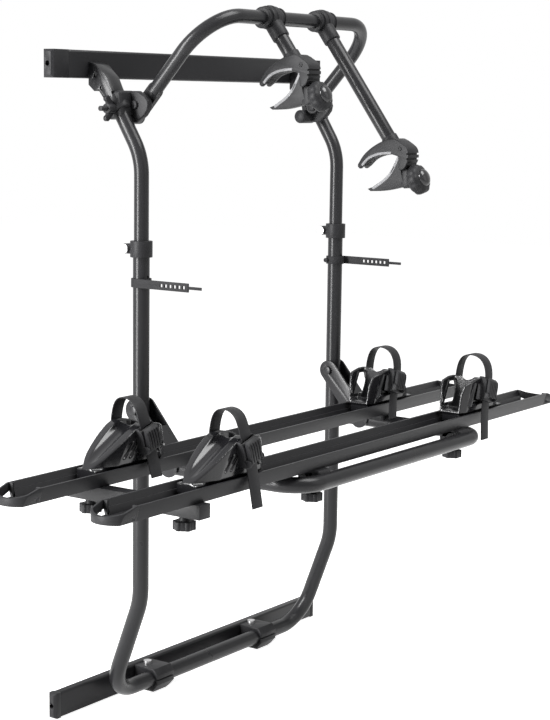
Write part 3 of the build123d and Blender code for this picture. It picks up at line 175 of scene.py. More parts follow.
# Properties
class CarrierFinish(bpy.types.PropertyGroup):
    tube_colour: bpy.props.FloatVectorProperty(
        name="Tube coat", description="Powder coat on the bent tubes",
        default=(0.012, 0.012, 0.013), size=3, min=0, max=1, subtype='COLOR')
    rail_colour: bpy.props.FloatVectorProperty(
        name="Extrusions", description="Black anodising on the rails and beams",
        default=(0.008, 0.008, 0.009), size=3, min=0, max=1, subtype='COLOR')
    moulding_colour: bpy.props.FloatVectorProperty(
        name="Mouldings", description="Matt plastic of clamps, caps and knobs",
        default=(0.012, 0.012, 0.013), size=3, min=0, max=1, subtype='COLOR')
    cradle_colour: bpy.props.FloatVectorProperty(
        name="Cradles", description="Glossy plastic of the wheel cradles",
        default=(0.008, 0.008, 0.009), size=3, min=0, max=1, subtype='COLOR')
    pad_colour: bpy.props.FloatVectorProperty(
        name="Claw pads", description="Soft rubber inside the claws",
        default=(0.16, 0.16, 0.165), size=3, min=0, max=1, subtype='COLOR')
    strap_colour: bpy.props.FloatVectorProperty(
        name="Straps", description="Ribbed straps over the tyres",
        default=(0.013, 0.013, 0.014), size=3, min=0, max=1, subtype='COLOR')
    floor_colour: bpy.props.FloatVectorProperty(
        name="Floor", description="Paper floor under the carrier",
        default=(0.86, 0.86, 0.86), size=3, min=0, max=1, subtype='COLOR')


# Shader groups
def shader_group(name, inputs, outputs):
    """An empty shader group with its sockets, and its two end nodes."""
    group = bpy.data.node_groups.new(name, 'ShaderNodeTree')
    for label, default in inputs:
        socket = group.interface.new_socket(label, in_out='INPUT', socket_type='NodeSocketFloat')
        socket.default_value = default
    for label, kind in outputs:
        group.interface.new_socket(label, in_out='OUTPUT', socket_type=kind)
    start = group.nodes.new('NodeGroupInput')
    end = group.nodes.new('NodeGroupOutput')
    return group, start, end


def add_node(tree, kind, **settings):
    """Adds a node to a tree and sets what is given."""
    node = tree.nodes.new(kind)
    for key, value in settings.items():
        setattr(node, key, value)
    return node


def scaled_place(tree, start, label):
    """Object coordinates, and a noise texture at the group's own scale."""
    place = add_node(tree, 'ShaderNodeTexCoord')
    noise = add_node(tree, 'ShaderNodeTexNoise')
    tree.links.new(place.outputs['Object'], noise.inputs['Vector'])
    tree.links.new(start.outputs[label], noise.inputs['Scale'])
    return place, noise


def build_peel_group():
    """Orange peel and slow waviness of a sprayed or moulded skin."""
    tree, start, end = shader_group('skin_peel', [('Scale', 900.0), ('Wave', 40.0)],
                                    [('Height', 'NodeSocketFloat'), ('Blotch', 'NodeSocketFloat')])
    _, fine = scaled_place(tree, start, 'Scale')
    fine.inputs['Detail'].default_value = 2.0
    _, slow = scaled_place(tree, start, 'Wave')
    slow.inputs['Detail'].default_value = 3.0
    tree.links.new(fine.outputs['Fac'], end.inputs['Height'])
    tree.links.new(slow.outputs['Fac'], end.inputs['Blotch'])
    return tree


def build_dust_group():
    """Thin dust that settles on faces turned upwards, broken up by noise."""
    tree, start, end = shader_group('settled_dust', [('Amount', 0.3), ('Scale', 60.0)],
                                    [('Mask', 'NodeSocketFloat')])
    _, noise = scaled_place(tree, start, 'Scale')
    noise.inputs['Detail'].default_value = 6.0
    noise.inputs['Roughness'].default_value = 0.7
    facing = add_node(tree, 'ShaderNodeNewGeometry')
    parts = add_node(tree, 'ShaderNodeSeparateXYZ')
    tree.links.new(facing.outputs['Normal'], parts.inputs['Vector'])
    upward = add_node(tree, 'ShaderNodeMapRange', clamp=True)
    upward.inputs['From Min'].default_value = 0.2
    upward.inputs['From Max'].default_value = 1.0
    tree.links.new(parts.outputs['Z'], upward.inputs['Value'])
    grain = add_node(tree, 'ShaderNodeMapRange', clamp=True)
    grain.inputs['From Min'].default_value = 0.42
    grain.inputs['From Max'].default_value = 0.72
    tree.links.new(noise.outputs['Fac'], grain.inputs['Value'])
    both = add_node(tree, 'ShaderNodeMath', operation='MULTIPLY')
    tree.links.new(upward.outputs['Result'], both.inputs[0])
    tree.links.new(grain.outputs['Result'], both.inputs[1])
    mask = add_node(tree, 'ShaderNodeMath', operation='MULTIPLY', use_clamp=True)
    tree.links.new(both.outputs['Value'], mask.inputs[0])
    tree.links.new(start.outputs['Amount'], mask.inputs[1])
    tree.links.new(mask.outputs['Value'], end.inputs['Mask'])
    return tree


def build_drawn_group():
    """Fine lines that an extrusion die leaves along the profile."""
    tree, start, end = shader_group('die_lines', [('Stretch', 6.0), ('Across', 1400.0)],
                                    [('Height', 'NodeSocketFloat')])
    place = add_node(tree, 'ShaderNodeTexCoord')
    scale = add_node(tree, 'ShaderNodeCombineXYZ')
    tree.links.new(start.outputs['Stretch'], scale.inputs['X'])
    tree.links.new(start.outputs['Across'], scale.inputs['Y'])
    tree.links.new(start.outputs['Across'], scale.inputs['Z'])
    stretched = add_node(tree, 'ShaderNodeVectorMath', operation='MULTIPLY')
    tree.links.new(place.outputs['Object'], stretched.inputs[0])
    tree.links.new(scale.outputs['Vector'], stretched.inputs[1])
    noise = add_node(tree, 'ShaderNodeTexNoise')
    noise.inputs['Scale'].default_value = 1.0
    noise.inputs['Detail'].default_value = 3.0
    tree.links.new(stretched.outputs['Vector'], noise.inputs['Vector'])
    tree.links.new(noise.outputs['Fac'], end.inputs['Height'])
    return tree


# Materials
def place_group(tree, group, **values):
    """Puts a shader group in a material with its own values."""
    node = add_node(tree, 'ShaderNodeGroup', node_tree=group)
    for label, value in values.items():
        node.inputs[label].default_value = value
    return node


def tint(colour, amount):
    """The same colour, lighter or darker by a share of its strength."""
    return tuple(min(1.0, part * amount) for part in colour) + (1.0,)


def blended_colour(tree, shader, factor, low, high):
    """Drives Base Color between two colours by a mask."""
    mix = add_node(tree, 'ShaderNodeMix', data_type='RGBA')
    mix.inputs['A'].default_value = low
    mix.inputs['B'].default_value = high
    tree.links.new(factor, mix.inputs['Factor'])
    tree.links.new(mix.outputs['Result'], shader.inputs['Base Color'])


def ranged_roughness(tree, shader, factor, low, high):
    """Drives Roughness between two values by a mask."""
    span = add_node(tree, 'ShaderNodeMapRange', clamp=True)
    span.inputs['To Min'].default_value = low
    span.inputs['To Max'].default_value = high
    tree.links.new(factor, span.inputs['Value'])
    tree.links.new(span.outputs['Result'], shader.inputs['Roughness'])


def bumped(tree, shader, height, strength, distance):
    """Feeds a height into Normal."""
    bump = add_node(tree, 'ShaderNodeBump')
    bump.inputs['Strength'].default_value = strength
    bump.inputs['Distance'].default_value = distance
    tree.links.new(height, bump.inputs['Height'])
    tree.links.new(bump.outputs['Normal'], shader.inputs['Normal'])


def new_material(name, metallic=0.0, specular=0.5):
    """A material with its Principled shader."""
    material = bpy.data.materials.new(name)
    material.use_nodes = True
    shader = material.node_tree.nodes['Principled BSDF']
    shader.inputs['Metallic'].default_value = metallic
    shader.inputs['Specular IOR Level'].default_value = specular
    return material, material.node_tree, shader


# Skins: colour setting, lowest and highest roughness, grain scale, grain height, dust, specular level
SKINS = {
    'tube_coat': ('tube_colour', 0.24, 0.34, 900.0, 0.00004, 0.15, 0.2),
    'moulding': ('moulding_colour', 0.42, 0.55, 1500.0, 0.00006, 0.25, 0.15),
    'cradle_gloss': ('cradle_colour', 0.12, 0.22, 300.0, 0.00002, 0.1, 0.4),
    'rubber': ('moulding_colour', 0.6, 0.75, 2000.0, 0.00008, 0.4, 0.15),
    'claw_pad': ('pad_colour', 0.5, 0.65, 1800.0, 0.00008, 0.0, 0.3),
    'strap': ('strap_colour', 0.45, 0.6, 1600.0, 0.0001, 0.2, 0.15),
}


def skin_material(name, groups, colour, low, high, peel, depth, dust, specular):
    """A painted or moulded skin: blotches, dust, peel."""
    material, tree, shader = new_material(name, specular=specular)
    skin = place_group(tree, groups['peel'], Scale=peel, Wave=35.0)
    settled = place_group(tree, groups['dust'], Amount=dust, Scale=55.0)
    blended_colour(tree, shader, settled.outputs['Mask'], tint(colour, 1.0), tint(colour, 4.0))
    ranged_roughness(tree, shader, skin.outputs['Blotch'], low, high)
    bumped(tree, shader, skin.outputs['Height'], 0.35, depth)
    return material


def build_materials():
    """All finishes of the carrier, by name."""
    finish = bpy.context.scene.carrier_finish
    groups = {'peel': build_peel_group(), 'dust': build_dust_group(), 'drawn': build_drawn_group()}
    made = {}
    for name, (setting, *values) in SKINS.items():
        made[name] = skin_material(name, groups, getattr(finish, setting), *values)

    material, tree, shader = new_material('extrusion', specular=0.18)
    lines = place_group(tree, groups['drawn'], Stretch=8.0, Across=1500.0)
    settled = place_group(tree, groups['dust'], Amount=0.3, Scale=45.0)
    colour = finish.rail_colour
    blended_colour(tree, shader, settled.outputs['Mask'], tint(colour, 1.0), tint(colour, 4.0))
    ranged_roughness(tree, shader, lines.outputs['Height'], 0.34, 0.5)
    bumped(tree, shader, lines.outputs['Height'], 0.25, 0.00004)
    made['extrusion'] = material

    material, tree, shader = new_material('zinc_plate', metallic=1.0)
    skin = place_group(tree, groups['peel'], Scale=700.0, Wave=160.0)
    blended_colour(tree, shader, skin.outputs['Blotch'], (0.38, 0.38, 0.39, 1.0), (0.62, 0.62, 0.62, 1.0))
    ranged_roughness(tree, shader, skin.outputs['Blotch'], 0.25, 0.45)
    bumped(tree, shader, skin.outputs['Height'], 0.2, 0.00003)
    made['zinc_plate'] = material
    return made


MATERIALS = {}
SLOT_FINISH = {
    'frame_black': 'tube_coat', 'rail_black': 'extrusion', 'plastic_black': 'moulding',
    'cradle_black': 'cradle_gloss', 'rubber_black': 'rubber', 'pad_grey': 'claw_pad',
    'strap_black': 'strap', 'zinc': 'zinc_plate',
}


class CARRIER_OT_finishes(bpy.types.Operator):
    """Builds the materials and gives one to every part of the frame"""
    bl_idname = "carrier.finishes"
    bl_label = "Finishes"

    def execute(self, context):
        MATERIALS.update(build_materials())
        for part in frame["record"]["subparts"]:
            node = frame["nodes"][part["node"]]
            material = MATERIALS[SLOT_FINISH[part["material_slot"]]]
            for slot in node.material_slots:
                slot.material = material
        return {'FINISHED'}


# Modelling helpers
def in_mode(mode):
    """Switches the active piece between object and edit mode."""
    bpy.ops.object.mode_set(mode=mode)


def clear_selection():
    """Leaves nothing selected and no piece in edit mode."""
    if bpy.context.mode != 'OBJECT':
        in_mode('OBJECT')
    bpy.ops.object.select_all(action='DESELECT')


def picked(piece):
    """Selects one piece alone and makes it the active one."""
    clear_selection()
    piece.select_set(True)
    bpy.context.view_layer.objects.active = piece
    return piece


def placed(name, data):
    """A new object in the scene for a mesh or a curve."""
    piece = bpy.data.objects.new(name, data)
    bpy.context.scene.collection.objects.link(piece)
    return piece


def spot(across, depth, point):
    """A point of an outline drawn across an axis, in metres."""
    first, second = point[0], point[1]
    if across == 'X':
        return Vector((depth, first, second)) * MM
    if across == 'Y':
        return Vector((first, depth, second)) * MM
    return Vector((first, second, depth)) * MM


def curve_through(points, steps=5):
    """Points along a smooth curve through the given ones."""
    run = [Vector(point) for point in points]
    ends = [run[0] * 2 - run[1]] + run + [run[-1] * 2 - run[-2]]
    line = []
    for before, start, end, after in zip(ends, ends[1:], ends[2:], ends[3:]):
        for step in range(steps):
            t = step / steps
            bend = (2 * before - 5 * start + 4 * end - after) * t * t
            twist = (3 * start - before - 3 * end + after) * t ** 3
            line.append(0.5 * (2 * start + (end - before) * t + bend + twist))
    return line + [run[-1]]


def eased(points, rounds=3):
    """A path with its corners cut round, in a few passes."""
    run = [Vector(point) for point in points]
    for _ in range(rounds):
        line = [run[0]]
        for start, end in zip(run, run[1:]):
            line += [start.lerp(end, 0.25), start.lerp(end, 0.75)]
        run = line + [run[-1]]
    return run


def face_outwards():
    """Turns all faces of the piece in edit mode outwards."""
    bpy.ops.mesh.select_all(action='SELECT')
    bpy.ops.mesh.normals_make_consistent(inside=False)


def plate(name, outline, low, high, across):
    """A plate with the given outline, from low to high along one axis."""
    clear_selection()
    bpy.ops.mesh.primitive_circle_add(vertices=len(outline), fill_type='NGON')
    piece = bpy.context.object
    piece.name = name
    for corner, point in zip(piece.data.vertices, outline):
        corner.co = spot(across, low, point)
    in_mode('EDIT')
    bpy.ops.mesh.select_all(action='SELECT')
    bpy.ops.mesh.extrude_region_move(TRANSFORM_OT_translate={'value': spot(across, high - low, (0, 0))})
    face_outwards()
    in_mode('OBJECT')
    return piece


def laid(piece):
    """Writes a piece's place and turn into its mesh."""
    picked(piece)
    bpy.ops.object.transform_apply(location=True, rotation=True, scale=True)
    return piece


def turned(name, profile, start, axis, sides=40):
    """A round piece turned from radii and heights along an axis."""
    clear_selection()
    radius, height = profile[0]
    bpy.ops.mesh.primitive_circle_add(vertices=sides, radius=radius * MM, fill_type='NGON',
                                      location=(0, 0, height * MM))
    piece = bpy.context.object
    piece.name = name
    in_mode('EDIT')
    bpy.ops.mesh.select_all(action='SELECT')
    for next_radius, next_height in profile[1:]:
        rise = (0, 0, (next_height - height) * MM)
        bpy.ops.mesh.extrude_region_move(TRANSFORM_OT_translate={'value': rise})
        share = next_radius / radius
        bpy.ops.transform.resize(value=(share, share, 1), center_override=(0, 0, next_height * MM))
        radius, height = next_radius, next_height
    face_outwards()
    in_mode('OBJECT')
    laid(piece)
    turn = Vector((0, 0, 1)).rotation_difference(Vector(axis)).to_matrix().to_4x4()
    piece.matrix_world = Matrix.Translation(Vector(start) * MM) @ turn
    return laid(piece)


def band(name, path, width, thickness):
    """A strap of one width along X that follows a path."""
    clear_selection()
    bpy.ops.mesh.primitive_plane_add(size=1)
    piece = bpy.context.object
    piece.name = name
    half = Vector((width / 2, 0, 0))
    corners = (path[0] - half, path[0] + half, path[1] - half, path[1] + half)
    for corner, point in zip(piece.data.vertices, corners):
        corner.co = point * MM
    for edge in piece.data.edges:
        edge.select = set(edge.vertices) == {2, 3}
    for vertex in piece.data.vertices:
        vertex.select = vertex.index > 1
    for face in piece.data.polygons:
        face.select = False
    in_mode('EDIT')
    for start, end in zip(path[1:], path[2:]):
        bpy.ops.mesh.extrude_region_move(TRANSFORM_OT_translate={'value': (end - start) * MM})
    face_outwards()
    in_mode('OBJECT')
    finish_with(piece, 'SOLIDIFY', thickness=thickness * MM, offset=0)
    return piece


def finish_with(piece, kind, **settings):
    """Adds a modifier to a piece and applies it."""
    picked(piece)
    modifier = piece.modifiers.new('step', kind)
    for key, value in settings.items():
        setattr(modifier, key, value)
    bpy.ops.object.modifier_apply(modifier=modifier.name)
    return piece


def cut_by(piece, tool, operation='DIFFERENCE'):
    """Cuts, joins or trims a piece by another one, which is used up."""
    finish_with(piece, 'BOOLEAN', operation=operation, object=tool, solver='EXACT')
    bpy.data.objects.remove(tool)
    return piece


def rounded(piece, width, segments=2, angle=32):
    """Rounds the sharp edges of a piece and shades it smooth."""
    finish_with(piece, 'BEVEL', width=width * MM, segments=segments, limit_method='ANGLE',
                angle_limit=math.radians(angle), harden_normals=False)
    bpy.ops.object.shade_smooth_by_angle(angle=math.radians(angle + 8))
    return piece


def joined(*pieces):
    """One piece from several, under the first one's name."""
    clear_selection()
    for piece in pieces:
        piece.select_set(True)
    bpy.context.view_layer.objects.active = pieces[0]
    bpy.ops.object.join()
    return pieces[0]


def copy_of(piece, name, shift=(0, 0, 0), mirrored=False):
    """A copy with its own mesh, moved or mirrored to the other side."""
    twin = placed(name, piece.data.copy())
    side = Matrix.Diagonal((-1, 1, 1, 1)) if mirrored else Matrix.Identity(4)
    twin.data.transform(Matrix.Translation(Vector(shift) * MM) @ side)
    if mirrored:
        picked(twin)
        in_mode('EDIT')
        face_outwards()
        in_mode('OBJECT')
    return twin


def softened(node, width, angle=32, finish=None):
    """A part of the frame with its edges rounded, which stands for the plain one."""
    piece = picked(placed(node + '_soft', frame["nodes"][node].data.copy()))
    in_mode('EDIT')
    bpy.ops.mesh.select_all(action='SELECT')
    bpy.ops.mesh.remove_doubles(threshold=MERGE_DISTANCE * MM)
    bpy.ops.mesh.dissolve_limited(angle_limit=math.radians(0.6))
    face_outwards()
    in_mode('OBJECT')
    rounded(piece, width, 2, angle)
    slot = next(part["material_slot"] for part in frame["record"]["subparts"] if part["node"] == node)
    return dress(piece, node, finish or SLOT_FINISH[slot], node)


def dress(piece, node, finish, *replaced):
    """Gives a piece its finish, its place on a body, and the parts that it stands for."""
    piece.data.materials.clear()
    piece.data.materials.append(MATERIALS[finish])
    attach(piece, frame["nodes"][node]["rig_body"])
    if replaced:
        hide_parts(*replaced)
    return piece


def joint_place(name):
    """Where a joint of the frame lies, in millimetres."""
    return Vector(next(joint for joint in frame["joints"] if joint["name"] == name)["pos_m"]) / MM


def joint_axis(name):
    """A joint's axis."""
    return Vector(next(joint for joint in frame["joints"] if joint["name"] == name)["axis"]).normalized()


# Bent tubes
def bent_line(points, bend):
    """A path whose corners are arcs of one radius."""
    run = [Vector(point) for point in points]
    line = [run[0]]
    for before, corner, after in zip(run, run[1:], run[2:]):
        back = (before - corner).normalized()
        ahead = (after - corner).normalized()
        half = back.angle(ahead) / 2
        centre = corner + (back + ahead).normalized() * bend / math.sin(half)
        start = corner + back * bend / math.tan(half) - centre
        end = corner + ahead * bend / math.tan(half) - centre
        for step in range(BEND_STEPS + 1):
            line.append(centre + start.slerp(end, step / BEND_STEPS).normalized() * bend)
    return line + [run[-1]]


def bent_tube(name, points, bend, radius):
    """A round tube that follows a bent line."""
    path = bpy.data.curves.new(name, 'CURVE')
    path.dimensions = '3D'
    path.bevel_depth = radius * MM
    path.bevel_resolution = 8
    path.use_fill_caps = True
    run = path.splines.new('POLY')
    line = bent_line(points, bend)
    run.points.add(len(line) - 1)
    for point, place in zip(run.points, line):
        point.co = (*(place * MM), 1)
    picked(placed(name, path))
    bpy.ops.object.convert(target='MESH')
    piece = bpy.context.object
    in_mode('EDIT')
    bpy.ops.mesh.select_all(action='SELECT')
    bpy.ops.mesh.remove_doubles(threshold=MERGE_DISTANCE * MM)
    face_outwards()
    in_mode('OBJECT')
    bpy.ops.object.shade_smooth_by_angle(angle=math.radians(35))
    return piece


class CARRIER_OT_tubes(bpy.types.Operator):
    """Bends the platform's tube and the two upper tubes, and adds the hoop's knuckles"""
    bl_idname = "carrier.tubes"
    bl_label = "Bent tubes"

    def execute(self, context):
        corners = [(-UPRIGHT, LOOP_END), (-UPRIGHT, LOOP_FRONT), (UPRIGHT, LOOP_FRONT), (UPRIGHT, LOOP_END)]
        line = [(*corner, LOOP_LEVEL) for corner in corners]
        loop = bent_tube('platform_loop', line, LOOP_BEND, LOOP_RADIUS)
        dress(loop, 'platform_tube', 'tube_coat', 'platform_tube')
        for name, side in SIDES.items():
            x = side * UPRIGHT
            line = [(x, UPRIGHT_BACK, UPPER_BOTTOM), (x, UPRIGHT_BACK, SHOULDER_LEVEL), (x, *UPPER_END)]
            tube = bent_tube(f'sliding_tube_{name}', line, SHOULDER_BEND, UPPER_RADIUS)
            dress(tube, f'upper_tube_{name}', 'tube_coat', f'upper_tube_{name}')
            seat = plate(f'tube_seat_{name}', [(side * 202, -440), (side * 236, -440), (side * 236, -398),
                                               (side * 202, -398)], 398, 429, 'Z')
            dress(rounded(seat, 4, 3, 40), 'rail_fixings', 'moulding')
            self.knuckle(side, name)
        softened('pivot_bolts', 0.5, finish='tube_coat')
        return {'FINISHED'}

    def knuckle(self, side, name):
        """The knuckle that carries the hoop's foot on one upper tube, with its pin."""
        inner = side * KNUCKLE_INNER
        outer = side * KNUCKLE_OUTER
        outline = [(-57, 1007), (-98, 1007), (-112, 1000), (-119, 993), (-121, 986), (-119, 977), (-112, 968),
                   (-96, 956), (-71, 956)]
        block = plate(f'knuckle_{name}', outline, *sorted((inner, outer)), 'X')
        rounded(block, 3, 3, 40)
        grip = turned('grip', [(15, 0), (16.5, 1.5), (16.5, 26), (15, 27.5)],
                      (side * UPRIGHT, *GRIP_AT), Vector(GRIP_AXIS).normalized(), 48)
        rounded(grip, 1)
        stop = turned('stop', [(11, 0), (12, 1), (12, 37), (10.5, 39.5), (6, 41), (0.4, 41.5)],
                      (outer, *STOP_AT), (-side, 0, 0), 48)
        rounded(stop, 0.6)
        clamp = plate('clamp', [(-90, 968), (-60, 960), (-52, 1004), (-84, 1008)],
                      *sorted((inner, side * (UPRIGHT + 12))), 'X')
        rounded(clamp, 5, 4, 40)
        dress(joined(block, grip, stop, clamp), 'hoop_knuckles', 'moulding', 'hoop_knuckles')
        profile = [(6, 0), (7, 0.8), (7, 4), (5, 4.2), (5, 33), (9, 33.4), (9, 36), (7, 38), (0.4, 38.5)]
        pin = turned(f'hoop_pivot_{name}', profile, (side * (UPRIGHT - 11), *HOOP_PIN), (-side, 0, 0), 40)
        dress(rounded(pin, 0.4), 'hoop_pins', 'moulding', 'hoop_pins')


# Claws
def claw_hinge(arm):
    """The jaw's hinge, beside the end of the arm's axis."""
    return joint_place(f'claw_{arm}_swivel') - Vector((0, CLAW_SET[0], CLAW_SET[1]))


def fixed_jaw_edge():
    """Inner edge of the fixed jaw, from its tip to the hinge."""
    return curve_through([(74, -31.5), (61, -19.5), (45.5, -13), (30, -10.5), (16, -9.5)])


def moving_jaw_edge():
    """Inner edge of the moving jaw, from the hinge to its tip."""
    return curve_through([(6, -10), (11.5, -22), (21, -38.5), (34.5, -51.5), (58, -66)])


def narrowed(piece, way, start, run, share):
    """Draws a jaw in towards its tip, from a distance along Y or down from the hinge."""
    for corner in piece.data.vertices:
        reach = (corner.co.y if way == 'y' else -corner.co.z) / MM
        corner.co.x *= 1 - share * min(1, max(0, (reach - start) / run))


def claw_shell():
    """The claw's body: a crowned fixed jaw with a forked tip, hinge cheeks and a ribbed back."""
    half = CLAW_WIDTH / 2
    outline = curve_through([(2, 13), (14, 16.5), (36, 11), (57, 0), (73, -13), (84, -28)])
    outline += [(84.5, -32), (80, -36)] + fixed_jaw_edge()
    outline += [(3, -13), (2, -34)]
    outline += curve_through([(-3, -36), (-11, -31), (-17, -18), (-17.5, -7), (-13, 3), (2, 13)])[:-1]
    shell = plate('shell', outline, -half, half, 'X')
    narrowed(shell, *UPPER_TAPER)
    rounded(shell, 3.5, 3, 40)
    notch = plate('notch', [(70, -44), (90, -44), (90, -22), (76, -27)], -7, 7, 'X')
    cut_by(shell, notch)
    for level in (-25, -17, -9):
        groove = plate('groove', [(-24, level), (-13.5, level - 1), (-13.5, level + 2), (-24, level + 3)],
                       -20, 20, 'X')
        cut_by(shell, groove)
    slot = plate('slot', [(-8, -60), (-8, -8), (2, 2), (16, -6), (16, -60)], -13, 13, 'X')
    cut_by(shell, slot)
    return shell


def claw_jaw_shape():
    """The moving jaw: a thin tip, a hollow inner face and a broad root."""
    outline = moving_jaw_edge() + [(67, -69)]
    outline += curve_through([(61, -72.5), (36, -71), (11, -66), (-4, -62)])
    outline += curve_through([(-6, -56), (-1, -38), (-2, -24), (-6, -8), (0, 5)])
    jaw = plate('jaw', outline, -JAW_HALF, JAW_HALF, 'X')
    narrowed(jaw, *LOWER_TAPER)
    return rounded(jaw, 2.2, 3, 40)


def claw_pad(name, edge, depth, half, taper):
    """A soft pad that follows one jaw's inner edge and draws in with the jaw."""
    inner = [Vector(point) for point in edge]
    outer = []
    for place, point in enumerate(inner):
        ahead = inner[min(place + 1, len(inner) - 1)] - inner[max(place - 1, 0)]
        side = Vector((-ahead.y, ahead.x)).normalized()
        outer.append(point + side * depth)
    pad = plate(name, inner + outer[::-1], -half, half, 'X')
    narrowed(pad, *taper)
    return rounded(pad, 0.9, 2, 40)


def claw_knob_shape():
    """The round knob: a waisted hub, a grip ring with flutes and a raised middle."""
    profile = [(9, -9), (9, -1), (15, 0), (21, 1.5), (24, 4), (25, 8), (25, 14), (24, 18), (20.5, 20.5),
               (16, 21.5), (14.5, 22), (14, 24), (10.5, 27), (5.5, 28.6), (0.4, 29)]
    knob = turned('knob', profile, (0, 0, 0), (0, 0, 1), 72)
    for corner in knob.data.vertices:
        place = corner.co / MM
        radius = math.hypot(place.x, place.y)
        if radius > 20:
            turn = math.atan2(place.y, place.x)
            dip = 1 - FLUTE_DEPTH * (0.5 + 0.5 * math.cos(KNOB_FLUTES * turn)) ** 2
            corner.co.x *= dip
            corner.co.y *= dip
    rounded(knob, 0.6, 2, 50)
    return knob


def arm_sleeve(arm, start, end, radius):
    """A round length of an arm between two distances from the hoop."""
    middle = joint_place(f'arm_{arm}_swing')
    axis = joint_axis(f'claw_{arm}_swivel')
    place = middle + axis * start
    return turned('sleeve', [(radius, 0), (radius, end - start)], place, axis, 48)


class CARRIER_OT_claws(bpy.types.Operator):
    """Models the two arms with their clamps, claws, pads and knobs"""
    bl_idname = "carrier.claws"
    bl_label = "Claws"

    def execute(self, context):
        shapes = {'shell': claw_shell(), 'jaw': claw_jaw_shape(), 'knob': claw_knob_shape(),
                  'upper': claw_pad('upper', fixed_jaw_edge(), -4.5, CLAW_WIDTH / 2 + PAD_PROUD, UPPER_TAPER),
                  'lower': claw_pad('lower', moving_jaw_edge(), -5, JAW_HALF + PAD_PROUD, LOWER_TAPER)}
        for arm in ARMS:
            self.place_claw(arm, shapes)
            self.place_arm(arm)
        for shape in shapes.values():
            bpy.data.objects.remove(shape)
        return {'FINISHED'}

    def place_claw(self, arm, shapes):
        """Copies the claw's shapes to one arm."""
        hinge = claw_hinge(arm)
        body = f'claw_body_{arm}'
        dress(copy_of(shapes['shell'], f'claw_shell_{arm}', hinge), body, 'moulding', body)
        pad = copy_of(shapes['upper'], f'fixed_pad_{arm}', hinge)
        dress(pad, body, 'claw_pad', f'claw_upper_pad_{arm}')
        jaw = f'claw_jaw_{arm}'
        dress(copy_of(shapes['jaw'], f'moving_jaw_{arm}', hinge), jaw, 'moulding', jaw)
        pad = copy_of(shapes['lower'], f'moving_pad_{arm}', hinge)
        dress(pad, jaw, 'claw_pad', f'claw_lower_pad_{arm}')
        for name, side in SIDES.items():
            head = turned(f'hinge_screw_{arm}_{name}',
                          [(3.2, 0), (3.8, 0.6), (3.8, 1.6), (3.2, 2.2), (1.6, 2.2), (1.4, 1.2), (0.4, 1.2)],
                          hinge + Vector((side * CLAW_WIDTH / 2 - side, 0, 0)), (side, 0, 0))
            dress(rounded(head, 0.2), body, 'moulding')
        tilt = math.radians(KNOB_TILT)
        axis = Vector((0, -math.cos(tilt), math.sin(tilt)))
        base = hinge + Vector((0, *KNOB_AT))
        knob = copy_of(shapes['knob'], f'round_knob_{arm}')
        turn = Vector((0, 0, 1)).rotation_difference(axis).to_matrix().to_4x4()
        knob.data.transform(Matrix.Translation(base * MM) @ turn)
        dress(knob, f'claw_knob_{arm}', 'moulding', f'claw_knob_{arm}')
        profile = [(14.6, 0), (14.6, 2), (13.2, 5), (10, 7.2), (5.5, 8.6), (0.4, 9)]
        dome = turned(f'knob_dome_{arm}', profile, base + axis * KNOB_CROWN, axis, 64)
        dress(rounded(dome, 0.4, 2, 50), f'claw_knob_{arm}', 'cradle_gloss')
        lug = plate(f'knob_lug_{arm}', [(-2, -34), (2, -60), (-6, -66), (-15, -60), (-12, -34)], -10, 10, 'X')
        lug.data.transform(Matrix.Translation(hinge * MM))
        dress(rounded(lug, 1.5), body, 'moulding')

    def place_arm(self, arm):
        """Builds one arm's clamp, its sleeves and its tube."""
        middle = joint_place(f'arm_{arm}_swing')
        axis = joint_axis(f'claw_{arm}_swivel')
        length = (joint_place(f'claw_{arm}_swivel') - middle).length
        tube = arm_sleeve(arm, 19, length - 12, ARM_RADIUS)
        tube.name = f'arm_bar_{arm}'
        dress(rounded(tube, 0.5), f'arm_tube_{arm}', 'tube_coat', f'arm_tube_{arm}')
        neck = arm_sleeve(arm, length - 30, length - 10, ARM_RADIUS + 2)
        neck.name = f'claw_neck_{arm}'
        dress(rounded(neck, 1.5), f'claw_body_{arm}', 'moulding')
        rise = -axis * CLAMP_RISE
        outline = []
        for centre, turn in ((Vector((0, 0, 0)), 0), (rise, 180)):
            for step in range(13):
                angle = math.radians(turn + step * 15) + math.atan2(axis.z, axis.y) - math.pi / 2
                outline.append((middle.y + centre.y + CLAMP_RADIUS * math.cos(angle),
                                middle.z + centre.z + CLAMP_RADIUS * math.sin(angle)))
        low, high = middle.x - CLAMP_HALF, middle.x + CLAMP_HALF
        clamp = plate(f'clamp_body_{arm}', outline, low, high, 'X')
        rounded(clamp, 2.5, 3, 40)
        ridge = plate('ridge', outline, middle.x - RIDGE_HALF, middle.x + RIDGE_HALF, 'X')
        core = (middle + rise / 2) * MM
        for corner in ridge.data.vertices:
            corner.co.y = core.y + (corner.co.y - core.y) * RIDGE_SHARE
            corner.co.z = core.z + (corner.co.z - core.z) * RIDGE_SHARE
        rounded(ridge, 1.0, 2, 40)
        socket = arm_sleeve(arm, 12, 40, ARM_RADIUS + 2.5)
        rounded(socket, 1.5)
        clamp = joined(clamp, ridge, socket)
        dress(clamp, f'arm_clamp_{arm}', 'moulding', f'arm_clamp_{arm}')
        profile = [(15, -24), (17.5, -23), (17.5, -20.5), (15.6, -19.5),
                   (15.6, 19.5), (17.5, 20.5), (17.5, 23), (15, 24)]
        liner = turned(f'sliding_liner_{arm}', profile, middle, (1, 0, 0))
        dress(rounded(liner, 0.4), f'slide_liner_{arm}', 'moulding', f'slide_liner_{arm}')


